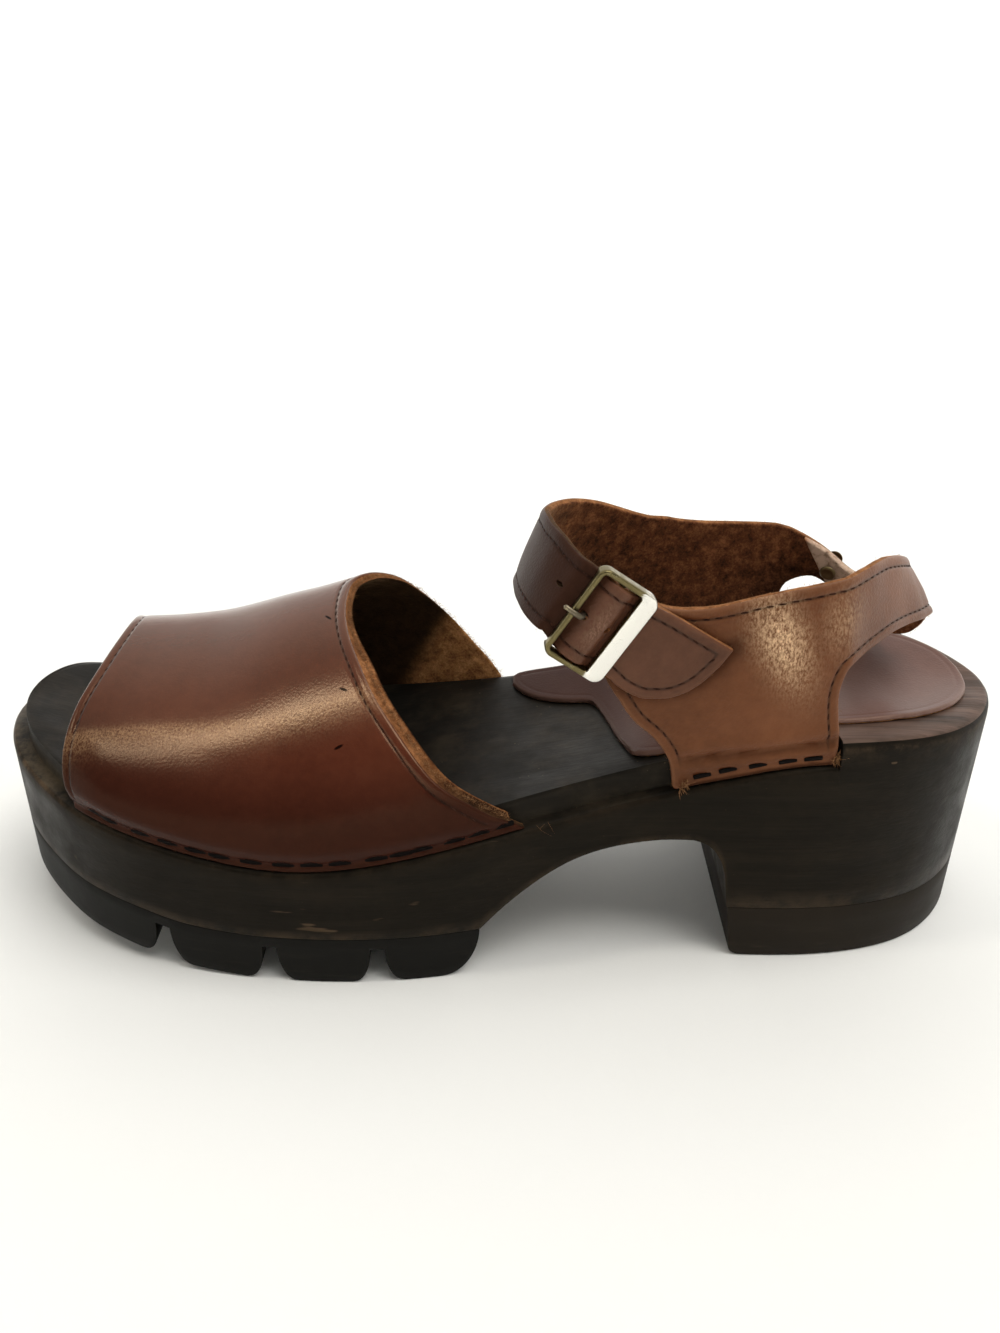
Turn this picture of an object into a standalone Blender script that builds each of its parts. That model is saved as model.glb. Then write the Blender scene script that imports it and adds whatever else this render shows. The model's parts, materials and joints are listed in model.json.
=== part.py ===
"""Left platform clog sandal: wooden sole, rubber treads, leather upper, brass buckle.

Frame: toe towards -X, heel towards +X, outer (buckle) side towards -Y, up +Z.
Tables are in millimetres and the finished objects are in metres.
"""
import math

import bmesh
import bpy
import numpy as np
from mathutils import Matrix

OBJECT_NAME = "platform_clog_sandal"
MM = 0.001

# Overall sizes, millimetres
SOLE_LENGTH = 265.0
SIDE_SHIFT = 3.6
FIT_GAP = 0.3

# Sole outline: station along the shoe, outer edge, inner edge
OUTLINE_COLUMNS = ("x", "outer", "inner")
OUTLINE = (
    (-132.5, 8.0, 8.0),
    (-130.0, -5.0, 21.5),
    (-125.0, -14.3, 29.6),
    (-117.0, -23.4, 34.5),
    (-107.0, -31.9, 36.9),
    (-92.0, -39.5, 38.7),
    (-75.0, -44.1, 40.1),
    (-50.0, -47.4, 40.2),
    (-30.0, -47.6, 37.6),
    (-10.0, -45.0, 34.2),
    (10.0, -40.1, 32.3),
    (30.0, -36.6, 31.8),
    (52.0, -36.6, 32.0),
    (75.0, -37.6, 32.4),
    (95.0, -35.8, 32.4),
    (112.0, -29.8, 29.0),
    (124.0, -19.2, 20.8),
    (130.0, -9.0, 12.0),
    (132.5, 2.2, 2.2),
)
OUTLINE_STEPS = 46

# Footbed: height of its edge and depth of the dish below it
FOOTBED_COLUMNS = ("x", "edge", "dish")
FOOTBED = (
    (-132.5, 55.8, 0.0),
    (-118.0, 52.4, 1.0),
    (-100.0, 48.6, 1.8),
    (-75.0, 43.7, 2.2),
    (-50.0, 41.0, 2.4),
    (-30.0, 42.9, 2.2),
    (-10.0, 46.4, 1.8),
    (10.0, 49.9, 1.6),
    (30.0, 54.1, 1.8),
    (44.0, 57.9, 2.2),
    (57.0, 61.5, 2.8),
    (68.0, 64.5, 3.2),
    (80.0, 66.4, 3.6),
    (90.0, 66.6, 3.8),
    (101.0, 66.1, 3.6),
    (115.0, 65.0, 2.4),
    (132.5, 62.6, 0.0),
)
FOOTBED_STEPS = 8
EDGE_EASE = 2.0

# Rebate that the upper is stapled into
REBATE_WIDTH = 4.5
REBATE_DEPTH = 6.9
REBATE_END = 83.6
LEDGE_CHAMFER = 0.8

# Heel and arch
HEEL_TAPER = 0.4
HEEL_TAPER_START = 50.0
ARCH_COLUMNS = ("x", "z")
ARCH = (
    (-3.0, 14.2),
    (3.0, 20.2),
    (14.0, 28.6),
    (21.0, 32.3),
    (28.0, 34.6),
    (36.0, 36.2),
    (44.0, 37.2),
    (49.5, 37.3),
    (54.0, 35.9),
    (57.2, 32.2),
    (59.0, 27.5),
    (60.1, 21.0),
    (60.7, 16.2),
)
HEEL_BREAST_FOOT = 62.6
TOPLIFT_HEIGHT = 16.2

# Forefoot tread: underside, with toe spring, and its rubber thickness
TREAD_COLUMNS = ("x", "under")
TREAD = (
    (-134.0, 13.0),
    (-127.0, 11.0),
    (-118.0, 8.6),
    (-108.0, 6.6),
    (-98.0, 5.2),
    (-90.0, 3.8),
    (-78.0, 1.4),
    (-66.0, 0.4),
    (-57.0, 0.0),
    (-3.0, 0.0),
)
TREAD_THICKNESS = 14.2
GROOVE_CENTRES = (-84.5, -56.5, -29.0)
GROOVE_DEPTH = 10.6
GROOVE_TOP_HALF = 1.9
LUG_CORNER_RUN = 5.0
LUG_CORNER_POWER = 2.2
REAR_LUG_RUN = 9.5

# Heel pad: station, outer edge, inner edge
PAD_COLUMNS = ("x", "outer", "inner")
PAD = (
    (5.4, 20.5, 24.6),
    (7.6, 16.6, 26.2),
    (12.0, 12.0, 26.6),
    (20.0, 8.0, 26.4),
    (27.0, 5.5, 26.2),
    (30.0, -4.0, 26.1),
    (32.5, -17.0, 26.0),
    (35.5, -26.0, 26.0),
    (42.0, -28.0, 26.0),
    (60.0, -28.4, 26.2),
    (86.0, -27.5, 26.4),
    (102.0, -24.0, 25.6),
    (115.5, -17.0, 21.5),
    (122.5, -9.0, 16.0),
    (125.5, -2.5, 10.0),
    (126.3, 2.0, 6.0),
)
PAD_THICKNESS = 1.6

# Vamp: crest line, section shape and cut edges
VAMP_THICKNESS = 2.5
VAMP_INSET = 1.0
VAMP_WALL = 5.0
CREST_Y = 15.2
CREST_COLUMNS = ("x", "z")
CREST = (
    (-112.0, 70.8),
    (-104.0, 71.0),
    (-78.0, 73.1),
    (-54.0, 79.7),
    (-36.0, 85.3),
    (-10.0, 94.4),
    (12.0, 101.0),
)
OUTER_POWER = 1.69
INNER_POWER = 2.2
VAMP_EDGE_COLUMNS = ("angle", "front", "rear")
VAMP_EDGES = (
    (0.0, -107.0, 1.8),
    (9.0, -107.5, -5.0),
    (17.0, -107.9, -12.0),
    (26.0, -108.0, -18.0),
    (38.0, -107.4, -25.0),
    (45.0, -106.7, -29.0),
    (54.0, -105.3, -33.0),
    (64.0, -103.7, -36.8),
    (73.0, -102.5, -38.8),
    (82.0, -101.6, -39.2),
    (92.0, -101.1, -38.2),
    (103.0, -101.1, -35.0),
    (113.0, -101.5, -31.8),
    (122.0, -102.2, -28.2),
    (131.0, -103.3, -24.6),
    (142.0, -104.5, -19.8),
    (155.0, -105.7, -13.2),
    (166.0, -106.6, -7.2),
    (174.0, -107.1, -2.2),
    (180.0, -107.5, 1.5),
)
VAMP_FRONT_TURN = 2.0
VAMP_OUTER_CORNER = 6.2
VAMP_INNER_CORNER = 4.5
VAMP_ANGLE_STEPS = 42
VAMP_LENGTH_STEPS = 10

# Buckle frame of reference: a point on the quarter's face under the centre bar
BUCKLE_POINT = (23.6, -36.5, 98.8)
BUCKLE_SLOPE = 33.9
BUCKLE_LEAN = 4.0
BUCKLE_BACK = 7.8
BUCKLE_FRONT = 8.0
BUCKLE_HALF_WIDTH = 12.0
BUCKLE_RAIL = 1.5
BUCKLE_THIN_BAR = 1.4
BUCKLE_WIDE_BAR = 4.4
BUCKLE_BASE = 1.5
BUCKLE_UNDER_BARS = 3.1
BUCKLE_TOP = 5.0
BUCKLE_CORNER = 2.4
CENTRE_BAR_ALONG = -0.9
CENTRE_BAR_RADIUS = 0.9
CENTRE_BAR_HEIGHT = 1.8
PRONG_RADIUS = 0.7
PRONG_COLUMNS = ("along", "out")
PRONG = (
    (0.85, 1.3),
    (0.35, 0.5),
    (-0.9, 0.03),
    (-2.1, 0.35),
    (-3.0, 0.6),
    (-3.7, 1.1),
    (-4.2, 2.1),
    (-4.6, 3.3),
    (-4.95, 4.6),
    (-5.6, 5.9),
    (-6.7, 6.25),
    (-8.0, 6.1),
    (-10.1, 5.5),
)

# Outer quarter and slingback: lower and upper edge of each rib, and its bulge
STRAP_THICKNESS = 2.2
TAB_HALF_WIDTH = 9.4
TAB_FOLD_RADIUS = 1.8
TAB_FOLD_ANGLES = (-140.0, -124.0, -107.0, -90.0)
TAB_SLOT_HALF = 1.3
TAB_SLOT_REACH = 3.4
QUARTER_COLUMNS = (
    "low_x", "low_y", "low_z", "high_x", "high_y", "high_z", "bulge",
)
QUARTER = (
    (29.0, -36.2, 78.4, 38.0, -36.0, 101.6, 0.0),
    (33.2, -35.9, 71.9, 41.0, -35.9, 100.9, 0.0),
    (39.0, -35.4, 66.0, 43.8, -35.8, 100.7, 0.1),
    (42.6, -35.1, 60.0, 46.4, -35.6, 100.7, 0.3),
    (44.8, -35.1, 51.7, 48.8, -35.5, 100.9, 0.4),
    (52.0, -35.6, 53.8, 51.0, -35.3, 101.2, 0.6),
    (60.0, -36.1, 56.0, 53.2, -35.2, 101.7, 0.7),
    (68.0, -36.5, 58.1, 55.4, -35.1, 102.3, 0.9),
    (76.0, -36.6, 59.5, 57.4, -35.0, 102.8, 1.0),
    (82.4, -36.4, 60.1, 59.4, -34.9, 103.4, 1.1),
    (82.6, -36.4, 66.3, 61.8, -34.8, 103.9, 0.9),
    (81.7, -36.2, 72.5, 64.8, -34.6, 104.5, 0.7),
    (81.0, -35.7, 79.0, 70.0, -34.3, 105.5, 0.5),
    (83.0, -34.2, 85.4, 78.6, -32.2, 106.6, 0.3),
    (89.3, -27.2, 86.5, 86.8, -25.3, 106.8, 0.2),
    (95.8, -20.5, 86.9, 92.9, -17.6, 105.9, 0.2),
    (103.2, -12.0, 85.5, 99.6, -9.0, 103.1, 0.2),
    (111.2, -3.5, 83.6, 103.6, -1.5, 99.8, 0.2),
    (115.4, 3.5, 81.9, 105.6, 3.5, 97.4, 0.2),
    (115.0, 9.0, 75.5, 106.8, 8.8, 90.0, 0.2),
    (111.0, 14.5, 71.3, 104.6, 14.0, 85.6, 0.2),
    (105.0, 20.4, 71.6, 99.6, 20.0, 86.2, 0.1),
    (99.4, 24.0, 75.8, 92.2, 24.3, 91.0, 0.0),
    (95.2, 25.4, 78.3, 86.0, 26.4, 94.0, 0.0),
)
RIB_SPAN = 4.2
RIB_STEPS = 6

# Inner quarter and ankle strap, from the lap at the heel to the buckle
STRAP_COLUMNS = QUARTER_COLUMNS
STRAP = (
    (104.0, 24.8, 74.0, 99.4, 24.2, 83.6, 0.0),
    (98.8, 28.0, 77.0, 94.4, 27.7, 88.8, 0.0),
    (90.0, 30.4, 81.2, 86.6, 30.1, 93.4, 0.0),
    (83.5, 31.0, 79.0, 81.5, 30.6, 95.6, 0.1),
    (81.6, 31.5, 72.0, 78.0, 30.9, 96.3, 0.3),
    (82.4, 31.5, 60.1, 74.0, 30.8, 96.6, 0.6),
    (76.0, 31.5, 59.5, 69.5, 30.6, 96.8, 0.8),
    (68.0, 31.4, 58.1, 64.5, 30.3, 97.0, 0.8),
    (60.0, 31.2, 56.0, 59.5, 29.9, 97.2, 0.8),
    (52.0, 31.0, 53.8, 54.5, 29.3, 97.7, 0.8),
    (44.8, 30.9, 51.7, 50.5, 28.5, 98.4, 0.8),
    (42.6, 30.9, 59.5, 47.0, 27.7, 99.3, 0.7),
    (39.0, 30.5, 66.0, 43.0, 26.6, 99.9, 0.6),
    (34.0, 29.5, 72.5, 38.5, 25.0, 101.5, 0.5),
    (27.5, 27.4, 79.0, 33.0, 22.7, 104.0, 0.4),
    (19.5, 23.0, 84.4, 26.5, 19.0, 107.0, 0.3),
    (11.5, 15.4, 88.4, 19.5, 13.2, 109.5, 0.3),
    (6.0, 5.0, 91.2, 13.8, 4.6, 111.2, 0.3),
    (4.7, -6.0, 93.8, 11.9, -5.6, 113.2, 0.3),
    (4.9, -16.5, 95.9, 12.5, -15.5, 114.9, 0.3),
    (6.0, -26.5, 97.1, 14.7, -25.4, 115.4, 0.3),
    (8.0, -34.2, 97.3, 17.8, -33.0, 114.1, 0.2),
)
STRAP_IN_BUCKLE_COLUMNS = ("along", "out", "low", "high")
STRAP_IN_BUCKLE = (
    (-10.4, 1.9, -8.6, 10.2),
    (-8.2, 2.4, -8.8, 10.2),
    (-6.2, 2.65, -9.0, 10.2),
    (-4.4, 4.4, -9.1, 10.1),
    (-2.6, 5.2, -9.1, 10.1),
    (-0.9, 5.3, -9.2, 10.0),
    (0.6, 5.0, -9.3, 10.0),
    (1.9, 4.0, -9.4, 10.0),
    (3.1, 2.75, -9.5, 10.0),
    (8.2, 2.5, -9.6, 10.1),
    (10.2, 2.5, -9.9, 10.3),
    (12.5, 2.5, -10.4, 10.5),
    (16.0, 2.5, -10.4, 10.7),
    (20.0, 2.5, -9.5, 10.8),
    (23.6, 2.5, -7.2, 10.9),
    (26.4, 2.5, -4.1, 11.0),
    (28.4, 2.5, 0.2, 11.1),
    (29.5, 2.5, 6.4, 11.1),
)
STRAP_HOLE_COLUMNS = ("name", "along", "across", "radius")
STRAP_HOLES = (
    ("strap_hole_front", -12.0, 2.0, 0.8),
    ("prong_hole", -4.7, 0.0, 1.6),
    ("strap_hole_rear", 2.5, 0.3, 0.8),
)

# Rivets through the lap of the two straps
RIVET_COLUMNS = ("name", "x", "y", "z")
RIVETS = (
    ("rivet_upper", 95.3, 27.8, 86.5),
    ("rivet_lower", 96.9, 28.0, 81.6),
)
RIVET_DIRECTION = (0.46, 0.85, 0.26)
RIVET_CAP_RADIUS = 2.2
RIVET_CAP_HEIGHT = 1.5
RIVET_BACK_RADIUS = 2.2
RIVET_BACK_HEIGHT = 0.8
RIVET_SHANK_RADIUS = 1.1
RIVET_GRIP = 6.5
RIVET_STEPS = 16
PEG_SIDES = 16

# Colours: red, green, blue, metallic, roughness
COLOUR_COLUMNS = ("red", "green", "blue", "metallic", "roughness")
COLOURS = {
    "dark_wood": (0.030, 0.022, 0.018, 0.0, 0.5),
    "black_rubber": (0.018, 0.016, 0.015, 0.0, 0.7),
    "lift_rubber": (0.022, 0.018, 0.016, 0.0, 0.65),
    "pad_leather": (0.130, 0.062, 0.050, 0.0, 0.6),
    "vamp_leather": (0.160, 0.050, 0.026, 0.0, 0.38),
    "quarter_leather": (0.200, 0.075, 0.036, 0.0, 0.42),
    "strap_leather": (0.090, 0.030, 0.022, 0.0, 0.5),
    "rivet_brass_upper": (0.420, 0.300, 0.140, 1.0, 0.4),
    "rivet_brass_lower": (0.420, 0.300, 0.140, 1.0, 0.4),
    "frame_brass": (0.460, 0.350, 0.180, 1.0, 0.32),
    "prong_brass": (0.300, 0.240, 0.150, 1.0, 0.4),
}


def column(table, columns, name):
    """Return one named column of a table as an array."""
    number = columns.index(name)
    return np.array([row[number] for row in table], dtype=float)


def spline(knots, values, at):
    """Natural cubic spline through the knots, read at the given places."""
    step = np.diff(knots)
    rise = np.diff(values) / step
    count = len(knots)
    matrix = np.eye(count)
    right = np.zeros(count)
    for i in range(1, count - 1):
        matrix[i, i - 1] = step[i - 1]
        matrix[i, i] = 2.0 * (step[i - 1] + step[i])
        matrix[i, i + 1] = step[i]
        right[i] = 6.0 * (rise[i] - rise[i - 1])
    bend = np.linalg.solve(matrix, right)
    at = np.asarray(at, dtype=float)
    k = np.clip(np.searchsorted(knots, at) - 1, 0, count - 2)
    h = step[k]
    a = (knots[k + 1] - at) / h
    b = (at - knots[k]) / h
    curve = ((a ** 3 - a) * bend[k] + (b ** 3 - b) * bend[k + 1]) * h * h / 6.0
    return a * values[k] + b * values[k + 1] + curve


def steady(knots, values, at):
    """Cubic through the knots that never overshoots them."""
    step = np.diff(knots)
    rise = np.diff(values) / step
    slope = np.zeros(len(knots))
    slope[0] = rise[0]
    slope[-1] = rise[-1]
    for i in range(1, len(knots) - 1):
        if rise[i - 1] * rise[i] > 0.0:
            w1 = 2.0 * step[i] + step[i - 1]
            w2 = step[i] + 2.0 * step[i - 1]
            slope[i] = (w1 + w2) / (w1 / rise[i - 1] + w2 / rise[i])
    at = np.asarray(at, dtype=float)
    k = np.clip(np.searchsorted(knots, at) - 1, 0, len(knots) - 2)
    h = step[k]
    t = (at - knots[k]) / h
    first = (1.0 + 2.0 * t) * (1.0 - t) ** 2 * values[k]
    second = t * t * (3.0 - 2.0 * t) * values[k + 1]
    lean_in = t * (1.0 - t) ** 2 * h * slope[k]
    lean_out = t * t * (t - 1.0) * h * slope[k + 1]
    return first + second + lean_in + lean_out


def turn_angle(x):
    """Map a station along the shoe to an angle from 0 at the toe to pi at the heel."""
    ratio = np.clip(2.0 * np.asarray(x, dtype=float) / SOLE_LENGTH, -1.0, 1.0)
    return np.pi - np.arccos(ratio)


def outline_edges(x):
    """Return the outer and inner edge of the sole at stations x."""
    knots = turn_angle(column(OUTLINE, OUTLINE_COLUMNS, "x"))
    outer = spline(knots, column(OUTLINE, OUTLINE_COLUMNS, "outer"), turn_angle(x))
    inner = spline(knots, column(OUTLINE, OUTLINE_COLUMNS, "inner"), turn_angle(x))
    return outer, inner


def outline_ring():
    """Return the closed outline, toe first, along the outer side, then back."""
    angle = np.linspace(0.0, np.pi, OUTLINE_STEPS + 1)
    x = -0.5 * SOLE_LENGTH * np.cos(angle)
    outer, inner = outline_edges(x)
    there = np.stack([x, outer], axis=1)
    back = np.stack([x, inner], axis=1)[-2:0:-1]
    return np.vstack([there, back])


def ring_normals(ring):
    """Return outward unit normals of a closed ring."""
    along = np.roll(ring, -1, axis=0) - np.roll(ring, 1, axis=0)
    along /= np.linalg.norm(along, axis=1)[:, None]
    return np.stack([along[:, 1], -along[:, 0]], axis=1)


def edge_height(x):
    """Return the height of the footbed's edge at stations x."""
    knots = column(FOOTBED, FOOTBED_COLUMNS, "x")
    return spline(knots, column(FOOTBED, FOOTBED_COLUMNS, "edge"), x)


def footbed_height(x, across):
    """Return the footbed's height: its edge height less the dish.

    across runs from -1 at the outer edge to 1 at the inner edge.
    """
    knots = column(FOOTBED, FOOTBED_COLUMNS, "x")
    dish = steady(knots, column(FOOTBED, FOOTBED_COLUMNS, "dish"), x)
    return edge_height(x) - dish * (1.0 - across ** 2) ** 2


def ledge_height(x):
    """Return the height of the rebate's ledge at stations x."""
    return edge_height(x) - REBATE_DEPTH


def tread_under(x):
    """Return the height of the forefoot tread's underside."""
    knots = column(TREAD, TREAD_COLUMNS, "x")
    return steady(knots, column(TREAD, TREAD_COLUMNS, "under"), x)


def make_material(name):
    """Make a plain shaded material from the colour table."""
    values = dict(zip(COLOUR_COLUMNS, COLOURS[name]))
    material = bpy.data.materials.new(name)
    material.use_nodes = True
    shader = material.node_tree.nodes["Principled BSDF"]
    colour = (values["red"], values["green"], values["blue"], 1.0)
    shader.inputs["Base Color"].default_value = colour
    shader.inputs["Metallic"].default_value = values["metallic"]
    shader.inputs["Roughness"].default_value = values["roughness"]
    material.diffuse_color = colour
    return material


def make_collection(name):
    """Make a collection in the scene."""
    collection = bpy.data.collections.new(name)
    bpy.context.scene.collection.children.link(collection)
    return collection


def make_object(name, points, faces, collection, closed=True):
    """Make an object from points in millimetres and face loops."""
    points = np.asarray(points, dtype=float).copy()
    points[:, 1] += SIDE_SHIFT
    mesh = bpy.data.meshes.new(name)
    mesh.from_pydata((points * MM).tolist(), [], faces)
    body = bmesh.new()
    body.from_mesh(mesh)
    bmesh.ops.remove_doubles(body, verts=body.verts, dist=0.00002)
    if closed:
        bmesh.ops.recalc_face_normals(body, faces=body.faces)
    body.to_mesh(mesh)
    body.free()
    result = bpy.data.objects.new(name, mesh)
    collection.objects.link(result)
    return result


def grid_faces(rows, columns, start=0):
    """Return quads of a grid of points stored row by row."""
    faces = []
    for i in range(rows - 1):
        for j in range(columns - 1):
            a = start + i * columns + j
            faces.append((a, a + 1, a + columns + 1, a + columns))
    return faces


def closed_rows(name, rows, collection):
    """Loft closed rows of points into a body, with flat ends."""
    count = len(rows[0])
    faces = []
    for i in range(len(rows) - 1):
        for j in range(count):
            k = (j + 1) % count
            a = i * count
            b = a + count
            faces.append((a + j, a + k, b + k, b + j))
    faces.append(tuple(range(count)))
    last = (len(rows) - 1) * count
    faces.append(tuple(range(last, last + count)))
    return make_object(name, np.vstack(rows), faces, collection)


def prism(name, profile, collection, half=75.0):
    """Extrude an (x, z) profile across the shoe."""
    profile = np.asarray(profile, dtype=float)
    near = np.stack([profile[:, 0], np.full(len(profile), -half), profile[:, 1]], axis=1)
    away = near + np.array([0.0, 2.0 * half, 0.0])
    return closed_rows(name, [near, away], collection)


def apply_modifiers(body):
    """Keep the evaluated shape as the body's own mesh, with stray points welded."""
    bpy.context.view_layer.update()
    graph = bpy.context.evaluated_depsgraph_get()
    mesh = bpy.data.meshes.new_from_object(body.evaluated_get(graph))
    body.modifiers.clear()
    old = body.data
    body.data = mesh
    bpy.data.meshes.remove(old)
    clean = bmesh.new()
    clean.from_mesh(mesh)
    bmesh.ops.remove_doubles(clean, verts=clean.verts, dist=0.00002)
    bmesh.ops.dissolve_degenerate(clean, edges=clean.edges, dist=0.00001)
    clean.to_mesh(mesh)
    clean.free()


def cut(body, cutter, operation):
    """Apply an exact Boolean and keep its result as the body's mesh."""
    modifier = body.modifiers.new(operation.lower(), "BOOLEAN")
    modifier.operation = operation
    modifier.solver = "EXACT"
    modifier.object = cutter
    apply_modifiers(body)
    cutter.hide_render = True
    cutter.display_type = "WIRE"


def shell(name, outer, thickness, collection):
    """Make a leather sheet: a grid of outer-face points, thickened towards the foot."""
    rows, columns = outer.shape[:2]
    faces = [tuple(reversed(face)) for face in grid_faces(rows, columns)]
    body = make_object(name, outer.reshape(-1, 3), faces, collection, closed=False)
    modifier = body.modifiers.new("leather", "SOLIDIFY")
    modifier.thickness = thickness * MM
    modifier.offset = -1.0
    modifier.use_even_offset = False
    modifier.use_rim = True
    apply_modifiers(body)
    return body


def axes_matrix(origin, first, second, third):
    """Return the placement whose X, Y and Z lie along three directions at a point."""
    columns = np.eye(4)
    columns[:3, 0] = first
    columns[:3, 1] = second
    columns[:3, 2] = third
    columns[:3, 3] = (np.array(origin) + np.array([0.0, SIDE_SHIFT, 0.0])) * MM
    return Matrix(columns.tolist())


def place(name, body, matrix, collection):
    """Make an object from a bmesh and stand it at a placement."""
    mesh = bpy.data.meshes.new(name)
    body.to_mesh(mesh)
    body.free()
    result = bpy.data.objects.new(name, mesh)
    result.matrix_world = matrix
    collection.objects.link(result)
    return result


def peg(name, radius, length, matrix, collection):
    """Make a round peg about a placement's Z axis."""
    body = bmesh.new()
    bmesh.ops.create_cone(
        body,
        cap_ends=True,
        segments=PEG_SIDES,
        radius1=radius * MM,
        radius2=radius * MM,
        depth=length * MM,
    )
    return place(name, body, matrix, collection)


def sole_envelope(name, collection):
    """Make the whole sole, from below the floor to the footbed, as rings and a dish."""
    ring = outline_ring()
    normal = ring_normals(ring)
    reach = (ring[:, 0] - HEEL_TAPER_START) / (0.5 * SOLE_LENGTH - HEEL_TAPER_START)
    taper = HEEL_TAPER * np.clip(reach, 0.0, 1.0) ** 0.5
    rows = []
    for height in (-4.0, 0.0):
        flat = ring - normal * taper[:, None]
        rows.append(np.column_stack([flat, np.full(len(ring), height)]))
    for inset, drop in ((0.0, 1.0), (0.3, 0.3), (1.0, 0.0)):
        flat = ring - normal * (inset * EDGE_EASE)
        rows.append(np.column_stack([flat, edge_height(flat[:, 0]) - drop * EDGE_EASE]))
    count = len(ring)
    faces = []
    for i in range(len(rows) - 1):
        for j in range(count):
            k = (j + 1) % count
            a = i * count
            b = a + count
            faces.append((a + j, a + k, b + k, b + j))
    faces.append(tuple(range(count)))
    points = np.vstack(rows)
    rim = rows[-1]
    outer = rim[: OUTLINE_STEPS + 1]
    inner = np.vstack([rim[:1], rim[:OUTLINE_STEPS:-1], rim[OUTLINE_STEPS: OUTLINE_STEPS + 1]])
    share = np.linspace(0.0, 1.0, FOOTBED_STEPS + 1)[None, :, None]
    bed = outer[:, None, :] * (1.0 - share) + inner[:, None, :] * share
    bed[:, :, 2] = footbed_height(bed[:, :, 0], 2.0 * share[:, :, 0] - 1.0)
    faces += grid_faces(OUTLINE_STEPS + 1, FOOTBED_STEPS + 1, len(points))
    points = np.vstack([points, bed.reshape(-1, 3)])
    return make_object(name, points, faces, collection)


def rebate_cutter(collection):
    """Make the router's path: a band round the toe, above the ledge."""
    ring = outline_ring()
    normal = ring_normals(ring)
    turn = np.concatenate([np.arange(OUTLINE_STEPS, -1, -1), -np.arange(1, OUTLINE_STEPS + 1)])
    path = ring[turn]
    side = normal[turn]
    inside = np.flatnonzero(path[:, 0] < REBATE_END)
    start = inside[0] - 1
    stop = inside[-1] + 1
    path = path[start: stop + 1].copy()
    side = side[start: stop + 1].copy()
    for end, beside in ((0, 1), (-1, -2)):
        share = (REBATE_END - path[beside, 0]) / (path[end, 0] - path[beside, 0])
        path[end] = path[beside] + share * (path[end] - path[beside])
        side[end] = side[beside] + share * (side[end] - side[beside])
    rows = []
    for point, out in zip(path, side):
        ledge = float(ledge_height(point[0]))
        corners = (
            (-REBATE_WIDTH, ledge),
            (-LEDGE_CHAMFER, ledge),
            (0.4, ledge - LEDGE_CHAMFER - 0.4),
            (8.0, ledge - LEDGE_CHAMFER - 0.4),
            (8.0, ledge + 40.0),
            (-REBATE_WIDTH, ledge + 40.0),
        )
        row = [(*(point + out * reach), height) for reach, height in corners]
        rows.append(np.array(row))
    return closed_rows("rebate_cutter", rows, collection)


def joint_line():
    """Return the line between wood and forefoot rubber, toe to arch."""
    x = np.linspace(-136.0, ARCH[0][0], 24)
    return np.column_stack([x, tread_under(x) + TREAD_THICKNESS])


def arch_line():
    """Return the arch's curve from the forefoot to the heel breast."""
    x = column(ARCH, ARCH_COLUMNS, "x")
    z = column(ARCH, ARCH_COLUMNS, "z")
    rows = np.arange(len(ARCH), dtype=float)
    at = np.linspace(0.0, len(ARCH) - 1.0, 34)
    return np.column_stack([steady(rows, x, at), steady(rows, z, at)])


def build_sole_block(collection, cutters):
    """Carve the wooden sole from the envelope."""
    body = sole_envelope("sole_block", collection)
    arch = arch_line()
    profile = np.vstack([
        joint_line()[:-1],
        arch,
        [(arch[-1][0] + 0.2, TOPLIFT_HEIGHT)],
        [(145.0, TOPLIFT_HEIGHT), (145.0, 120.0), (-136.0, 120.0)],
    ])
    cut(body, prism("wood_profile", profile, cutters), "INTERSECT")
    cut(body, rebate_cutter(cutters), "DIFFERENCE")
    return body


def tread_profile():
    """Return the forefoot rubber's side profile with rounded lugs."""
    top = joint_line() - np.array([0.0, FIT_GAP])
    top[-1, 0] -= 0.2
    rear_x, rear_z = top[-1]
    points = [tuple(point) for point in top]
    for t in np.linspace(0.0, 1.0, 9)[1:]:
        angle = 0.5 * math.pi * t
        x = rear_x - REAR_LUG_RUN * (1.0 - math.cos(angle))
        points.append((x, rear_z * (1.0 - math.sin(angle))))
    depths = np.array([1.0, 0.98, 0.93, 0.84, 0.7, 0.5, 0.25, 0.0])
    power = LUG_CORNER_POWER
    runs = GROOVE_TOP_HALF + LUG_CORNER_RUN * (1.0 - (1.0 - depths ** power) ** (1.0 / power))
    for centre in reversed(GROOVE_CENTRES):
        for side in (1.0, -1.0):
            order = range(len(depths)) if side > 0.0 else range(len(depths) - 1, -1, -1)
            for i in order:
                x = centre + side * runs[i]
                base = float(tread_under(x))
                points.append((x, base + GROOVE_DEPTH * (1.0 - depths[i])))
    for x in (-97.0, -104.0, -111.0, -118.0, -124.0, -130.0, -136.0):
        points.append((x, float(tread_under(x))))
    return points


def build_forefoot_outsole(collection, cutters):
    """Make the lugged forefoot tread."""
    body = sole_envelope("forefoot_outsole", collection)
    cut(body, prism("tread_profile", tread_profile(), cutters), "INTERSECT")
    return body


def build_heel_toplift(collection, cutters):
    """Make the flat rubber lift under the heel."""
    body = sole_envelope("heel_toplift", collection)
    top = TOPLIFT_HEIGHT - FIT_GAP
    front = ARCH[-1][0] + 0.2
    profile = [
        (front, top),
        (HEEL_BREAST_FOOT, 0.8),
        (HEEL_BREAST_FOOT + 0.8, 0.0),
        (145.0, 0.0),
        (145.0, top),
    ]
    cut(body, prism("lift_profile", profile, cutters), "INTERSECT")
    return body


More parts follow.
